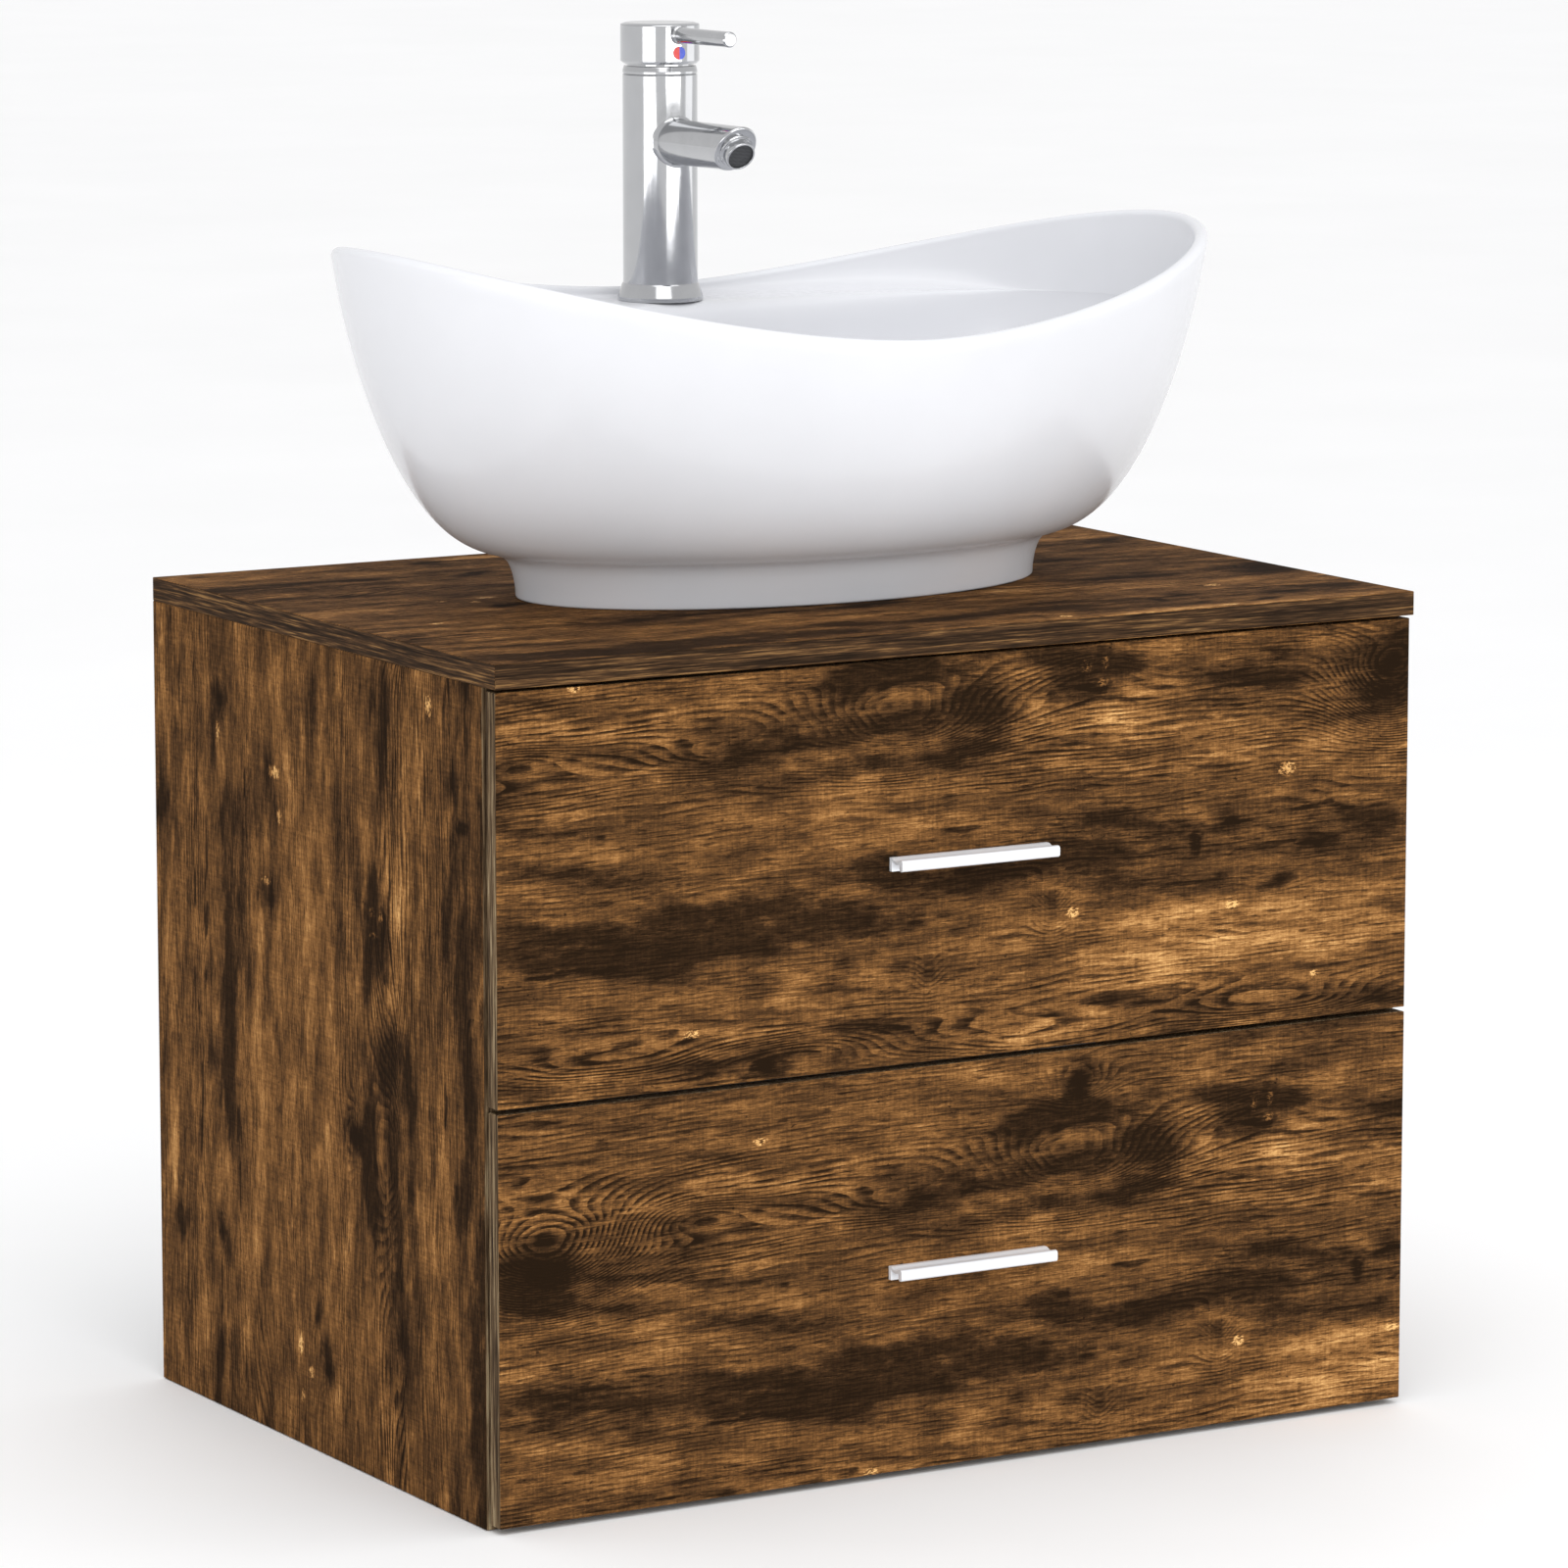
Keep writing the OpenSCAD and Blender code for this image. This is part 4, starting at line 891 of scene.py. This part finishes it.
def block(name, low, high, turn=None):
    """A plain cutter from one corner to the other, turned about the frame's origin if a matrix is given."""
    mesh = bpy.data.meshes.new(name)
    work = bmesh.new()
    bmesh.ops.create_cube(work, size=1)
    size = Vector(high) - Vector(low)
    bmesh.ops.transform(work, matrix=Matrix.Translation((Vector(low) + Vector(high)) / 2)
                        @ Matrix.Diagonal((*size, 1)), verts=work.verts)
    if turn is not None:
        bmesh.ops.transform(work, matrix=turn, verts=work.verts)
    work.to_mesh(mesh)
    work.free()
    made = bpy.data.objects.new(name, mesh)
    bpy.context.scene.collection.objects.link(made)
    return made


def spout_tube(axis_y, base_z, body_radius, steps=72):
    """The spout: a round tube along -Y. Round its root it swells by an arc that lies down on the body:
    radius = r + e (1 - sin s) and setback = e (1 - cos s) from the body's surface. Its far end lies on
    a slanted plane, y = -reach - height / tan(slant), and its lip is rounded by a quarter circle."""
    around = np.linspace(0, TURN, steps, endpoint=False)[:, None]
    root = np.linspace(0, math.pi / 2, 8)[None]
    root_r = SPOUT_RADIUS + SPOUT_ROOT_EASE * (1 - np.sin(root))
    on_body = -np.sqrt(body_radius ** 2 - (root_r * np.cos(around)) ** 2) + 0.03 * MM
    root_y = on_body - SPOUT_ROOT_EASE * (1 - np.cos(root))
    lip = np.linspace(0, math.pi / 2, 8)[None]
    lip_r = SPOUT_RADIUS - SPOUT_TIP_EASE * (1 - np.cos(lip)) + 0 * around
    lip_y = -SPOUT_REACH - lip_r * np.sin(around) / math.tan(SPOUT_SLANT) + SPOUT_TIP_EASE * (1 - np.sin(lip))
    share = np.array([0.015, 0.06, 0.3, 0.6, 0.9, 0.98])[None]
    side_y = root_y[:, -1:] + (lip_y[:, :1] - root_y[:, -1:]) * share
    side_r = SPOUT_RADIUS + 0 * side_y
    core_r = np.array([[0.0]]) + 0 * around
    radius = np.hstack([core_r, root_r[:, :1] + 0 * around, root_r + 0 * around, side_r, lip_r, core_r])
    inner_y = np.full_like(core_r, -0.3 * body_radius)
    y = np.hstack([inner_y, inner_y, root_y, side_y, lip_y, np.full_like(core_r, -SPOUT_REACH)])
    points = np.stack([radius * np.cos(around), axis_y + y,
                       base_z + SPOUT_UP + radius * np.sin(around)], axis=-1)
    return piece("spout_tube", points, quads(steps, points.shape[1], True, False))


def tap_pieces():
    """Foot ring, body with its spout, aerator, collar, lever head and lever rod, all plated."""
    foot_low, foot_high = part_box("tap_base_ring")
    collar_low, collar_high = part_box("trim_ring")
    head_low, head_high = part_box("lever_head")
    axis_y = (foot_low.y + foot_high.y) / 2
    base = (0, axis_y, foot_low.z)
    body_r = (collar_high.x - collar_low.x) / 2
    foot_r = (foot_high.x - foot_low.x) / 2
    foot_h = foot_high.z - foot_low.z
    body_h = collar_low.z - foot_low.z
    ring = turned("tap_foot", [(body_r, 0, 0.1 * MM), (foot_r, 0, 0.5 * MM), (foot_r, 2.6 * MM, 0.9 * MM),
                               (foot_r - 2.7 * MM, foot_h - 1 * MM, 0.8 * MM),
                               (body_r, foot_h, 0.1 * MM)], base)
    stands_for(ring, CHROME, "tap_base_ring")

    body = turned("tap_column", [(0, 0, 0), (body_r, 0, 0.3 * MM), (body_r, body_h - 0.8 * MM, 0.25 * MM),
                                 (body_r - 0.8 * MM, body_h - 0.4 * MM, 0.1 * MM),
                                 (body_r - 0.8 * MM, body_h, 0.1 * MM), (CARTRIDGE_BORE, body_h, 0.1 * MM),
                                 (CARTRIDGE_BORE, CARTRIDGE_UP, 0.1 * MM), (0, CARTRIDGE_UP, 0)],
                  base, steps=128)
    cut(body, spout_tube(axis_y, foot_low.z, body_r), join=True)
    out = Vector((0, -math.sin(SPOUT_SLANT), -math.cos(SPOUT_SLANT)))
    down = Vector((0, math.cos(SPOUT_SLANT), -math.sin(SPOUT_SLANT)))
    tip = Vector((0, axis_y - SPOUT_REACH, foot_low.z + SPOUT_UP)) + AERATOR_DROP * down
    cut(body, rod("spout_bore", AERATOR_RADIUS - 1 * MM, tip - 9 * MM * out, 14 * MM, out),
        *[rod(name, 4.6 * MM, (x, axis_y + 6 * MM, foot_low.z - MM), 17 * MM)
          for name, x in (("inlet_left", -INLET_APART), ("inlet_right", INLET_APART))])
    stands_for(body, CHROME, "tap_body")

    r = AERATOR_RADIUS
    housing = turned("aerator_ring", [(r - 2.5 * MM, -8 * MM, 0.2 * MM), (r - 1 * MM, -8 * MM, 0.2 * MM),
                                      (r - 1 * MM, -0.2 * MM, 0), (r + 1.6 * MM, 0.05 * MM, 0),
                                      (r + 1.2 * MM, 0.9 * MM, 0.4 * MM), (r, 1.2 * MM, 0.3 * MM),
                                      (r, 7 * MM, 0.7 * MM), (r - 1.3 * MM, 7 * MM, 0.4 * MM),
                                      (r - 1.3 * MM, 4.8 * MM, 0.1 * MM), (r - 2.5 * MM, 4.8 * MM, 0.1 * MM)],
                     tip, out)
    stands_for(housing, CHROME, "aerator_housing")
    net = turned("aerator_mesh_disc", [(0, 4.8 * MM, 0), (r - 1.35 * MM, 4.8 * MM, 0.1 * MM),
                                       (r - 1.35 * MM, 5.6 * MM, 0.2 * MM), (0, 6.0 * MM, 0)], tip, out, 48)
    stands_for(net, aerator_net(), "aerator_mesh")

    collar_h = 4.9 * MM
    neck_top = collar_h + 3.5 * MM
    collar = turned("tap_collar", [(17.6 * MM, 0, 0.2 * MM), (body_r, 0, 0.4 * MM),
                                   (body_r, 1.6 * MM, 0.6 * MM), (body_r - 0.9 * MM, collar_h, 0.5 * MM),
                                   (21 * MM, collar_h, 0.1 * MM), (21 * MM, neck_top, 0.2 * MM),
                                   (17.6 * MM, neck_top, 0.2 * MM)],
                    (0, axis_y, collar_low.z))
    stands_for(collar, CHROME, "trim_ring")

    head_r = (head_high.x - head_low.x) / 2
    head_h = head_high.z - head_low.z
    head_at = Vector((0, axis_y, head_low.z))
    head = turned("lever_knob", [(0, 0, 0), (head_r - 1.6 * MM, 0, 0.5 * MM), (head_r, 1.8 * MM, 0.7 * MM),
                                 (head_r, head_h - 0.9 * MM, 0.9 * MM), (head_r - 3 * MM, head_h, 0.8 * MM),
                                 (0, head_h, 0)], head_at, steps=128)
    tilt = Matrix.Translation(head_at + Vector((0, RELIEF_FROM, 0))) @ Matrix.Rotation(RELIEF_ANGLE, 4, "X")
    before_head = axis_y - head_r - 3 * MM
    cut(head, rod("collar_room", 23.3 * MM, head_at - Vector((0, 0, 1 * MM)), 9 * MM),
        block("relief", (-0.04, 0, -0.02), (0.04, 0.06, 0), tilt),
        rod("rod_hole", LEVER_RADIUS, (0, before_head, foot_low.z + LEVER_UP), 16 * MM, (0, 1, 0)),
        rod("dot_dish", 4.2 * MM, (0, before_head, foot_low.z + DOT_UP), 4.5 * MM, (0, 1, 0)),
        block("stem_room", head_at + Vector((-0.0042, -0.0042, -0.001)),
              head_at + Vector((0.0042, 0.0042, 0.013))))
    stands_for(head, CHROME, "lever_head")

    rod_low, rod_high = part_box("lever_rod")
    rod_r = LEVER_RADIUS
    length = rod_high.y - rod_low.y
    lever = turned("lever_bar", [(0, 0, 0), (rod_r, 0, 0.3 * MM), (rod_r, 13 * MM, 0.2 * MM),
                                 (rod_r + 1 * MM, 13.3 * MM, 0.3 * MM), (rod_r + 1 * MM, 15.1 * MM, 0.5 * MM),
                                 (rod_r, 16 * MM, 0.5 * MM), (rod_r, length - 1 * MM, 0.5 * MM),
                                 (rod_r - 1 * MM, length, 0.4 * MM), (0, length, 0)],
                   (0, rod_high.y, foot_low.z + LEVER_UP), (0, -1, 0), 64)
    stands_for(lever, CHROME, "lever_rod")


# ------------------------------------------------------------------ handles

def handle_piece(node):
    """A bar pull: its outline carried along X. A flange lies on the drawer front, a thin web dips
    outwards from it, and a rounded lip hangs from the web's end."""
    low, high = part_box(node)
    out = high.y - low.y
    top = (high.z - low.z) / 2
    lip = 7.2 * MM
    corners = [(0, -top, 0.3 * MM), (3 * MM, -top, 0.4 * MM), (3 * MM, top - 2 * MM, 0.5 * MM),
               (out / 2, top - 4 * MM, 5 * MM), (out - 4 * MM, top - 2.5 * MM, 0.5 * MM),
               (out - 4 * MM, top - lip, 1.6 * MM), (out, top - lip, 1.9 * MM), (out, top, 1.9 * MM),
               (out - 3 * MM, top - 0.1 * MM, 1.5 * MM), (out / 2, top - 2 * MM, 6 * MM),
               (3 * MM, top, 1.0 * MM), (0, top, 0.3 * MM)]
    outline = eased(corners, 6)
    count = len(outline)
    ease = 0.35 * MM
    places = np.array([low.x, low.x + 0.3 * ease, low.x + ease, low.x + 3 * ease,
                       high.x - 3 * ease, high.x - ease, high.x - 0.3 * ease, high.x])
    pull = np.array([ease, 0.35 * ease, 0, 0, 0, 0, 0.35 * ease, ease])
    tangent = np.roll(outline, -1, 0) - np.roll(outline, 1, 0)
    inwards = np.stack([-tangent[:, 1], tangent[:, 0]], axis=1)
    inwards /= np.linalg.norm(inwards, axis=1)[:, None]
    shape = outline[None] + inwards[None] * pull[:, None, None]
    middle_z = (low.z + high.z) / 2
    points = np.stack([np.broadcast_to(places[:, None], shape.shape[:2]), high.y - shape[..., 0],
                       middle_z + shape[..., 1]], axis=-1)
    faces = quads(len(places), count, False, True).tolist()
    faces += [list(range(count)), list(range((len(places) - 1) * count, len(places) * count))]
    return stands_for(piece(node + "_bar", points, faces, math.radians(35)), ALUMINIUM, node)


# ------------------------------------------------------------------ pieces that keep their CAD shape

FINISHES = {
    "carcass_board": plain_finish("brown_board", (82, 60, 42), (100, 75, 52), (0.08, 0.006, 0.006),
                                  (0.5, 0.6)),
    "drawer_board": plain_finish("grey_melamine", (128, 131, 133), (140, 143, 145), (0.06, 0.002, 0.002),
                                 (0.5, 0.62), relief=0.00004),
    "hardboard": plain_finish("hardboard", (150, 151, 150), (164, 165, 165), (0.003, 0.003, 0.003),
                              (0.6, 0.7), relief=0.00005),
    "beech": plain_finish("beech", (186, 146, 98), (212, 176, 128), (0.012, 0.0012, 0.0012), (0.55, 0.65)),
    "zinc": plain_finish("die_cast_zinc", (150, 152, 155), (182, 184, 186), (0.002, 0.002, 0.002),
                         (0.35, 0.5), 1.0),
    "zinc_steel": plain_finish("zinc_steel", (168, 171, 175), (196, 199, 202), (0.02, 0.02, 0.004),
                               (0.25, 0.4), 1.0),
    "clear_rubber": plain_finish("clear_rubber", (196, 198, 196), (214, 215, 213), (0.003, 0.003, 0.003),
                                 (0.3, 0.4)),
    "black_rubber": plain_finish("black_rubber", (22, 22, 23), (34, 34, 35), (0.002, 0.002, 0.002),
                                 (0.6, 0.8)),
    "raw_brass": plain_finish("raw_brass", (168, 134, 74), (198, 164, 98), (0.004, 0.004, 0.004),
                              (0.28, 0.4), 1.0),
    "white_plastic": plain_finish("white_plastic", (222, 224, 226), (234, 236, 237), (0.02, 0.02, 0.02),
                                  (0.3, 0.42), relief=0.00003),
    "cartridge_plastic": plain_finish("cartridge_plastic", (226, 226, 222), (240, 240, 236),
                                      (0.01, 0.01, 0.01), (0.35, 0.45)),
    "red_enamel": plain_finish("red_enamel", (214, 30, 22), (228, 42, 30), (0.001, 0.001, 0.001),
                               (0.15, 0.25)),
    "blue_enamel": plain_finish("blue_enamel", (34, 66, 196), (46, 82, 212), (0.001, 0.001, 0.001),
                                (0.15, 0.25)),
    "polished_chrome": CHROME,
}


def dress_cad_nodes():
    """Puts each shown CAD node's finish into all of its material slots."""
    for name, node in frame["nodes"].items():
        if node.hide_render:
            continue
        for place in node.material_slots:
            place.material = FINISHES[SLOT_OF[name]]


# ------------------------------------------------------------------ assembly

def oak_boards():
    """Where each board is cut from the decor sheet."""
    waste = (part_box("waste_body")[0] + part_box("waste_body")[1]) / 2
    slab_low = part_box("top_slab")[0].z - MM
    waste_hole = (25 * MM, (0, waste.y, slab_low), 20 * MM)
    hose_hole = (20 * MM, (0, waste.y + 62 * MM, slab_low), 20 * MM)
    slab = decor_board("top_slab", 0, 1, (0, 550), 2, SLAB_BANDING, [waste_hole, hose_hole])
    slab.data.materials.append(SIDE_BANDING)
    normals = np.zeros(len(slab.data.polygons) * 3)
    slab.data.polygons.foreach_get("normal", normals)
    index = np.zeros(len(slab.data.polygons), np.int32)
    slab.data.polygons.foreach_get("material_index", index)
    index[(np.abs(normals.reshape(-1, 3)[:, 0]) > 0.7) & (index == 1)] = 2
    slab.data.polygons.foreach_set("material_index", index)
    decor_board("left_side_panel", 2, 1, (-253, 555), 0, UPRIGHT_BANDING)
    decor_board("right_side_panel", 2, 1, (-180, 535), 0, UPRIGHT_BANDING)
    decor_board("upper_drawer_front", 0, 2, (0, 0), 1, UPRIGHT_BANDING)
    decor_board("lower_drawer_front", 0, 2, (-125, 283), 1, UPRIGHT_BANDING)


def studio_floor():
    """A wide plain floor under the side panels."""
    half = 40
    corners = [(-half, -half, 0), (half, -half, 0), (half, half, 0), (-half, half, 0)]
    floor = piece("studio_floor", corners, [(0, 1, 2, 3)])
    floor.data.transform(Matrix.Translation((0, 0, -0.0005)))
    if floor.data.polygons[0].normal.z < 0:
        floor.data.flip_normals()
    floor.data.materials.append(floor_finish())


set_camera()
set_lights()
studio_floor()
oak_boards()
basin_piece()
basin_fittings()
tap_pieces()
handle_piece("upper_handle")
handle_piece("lower_handle")
dress_cad_nodes()
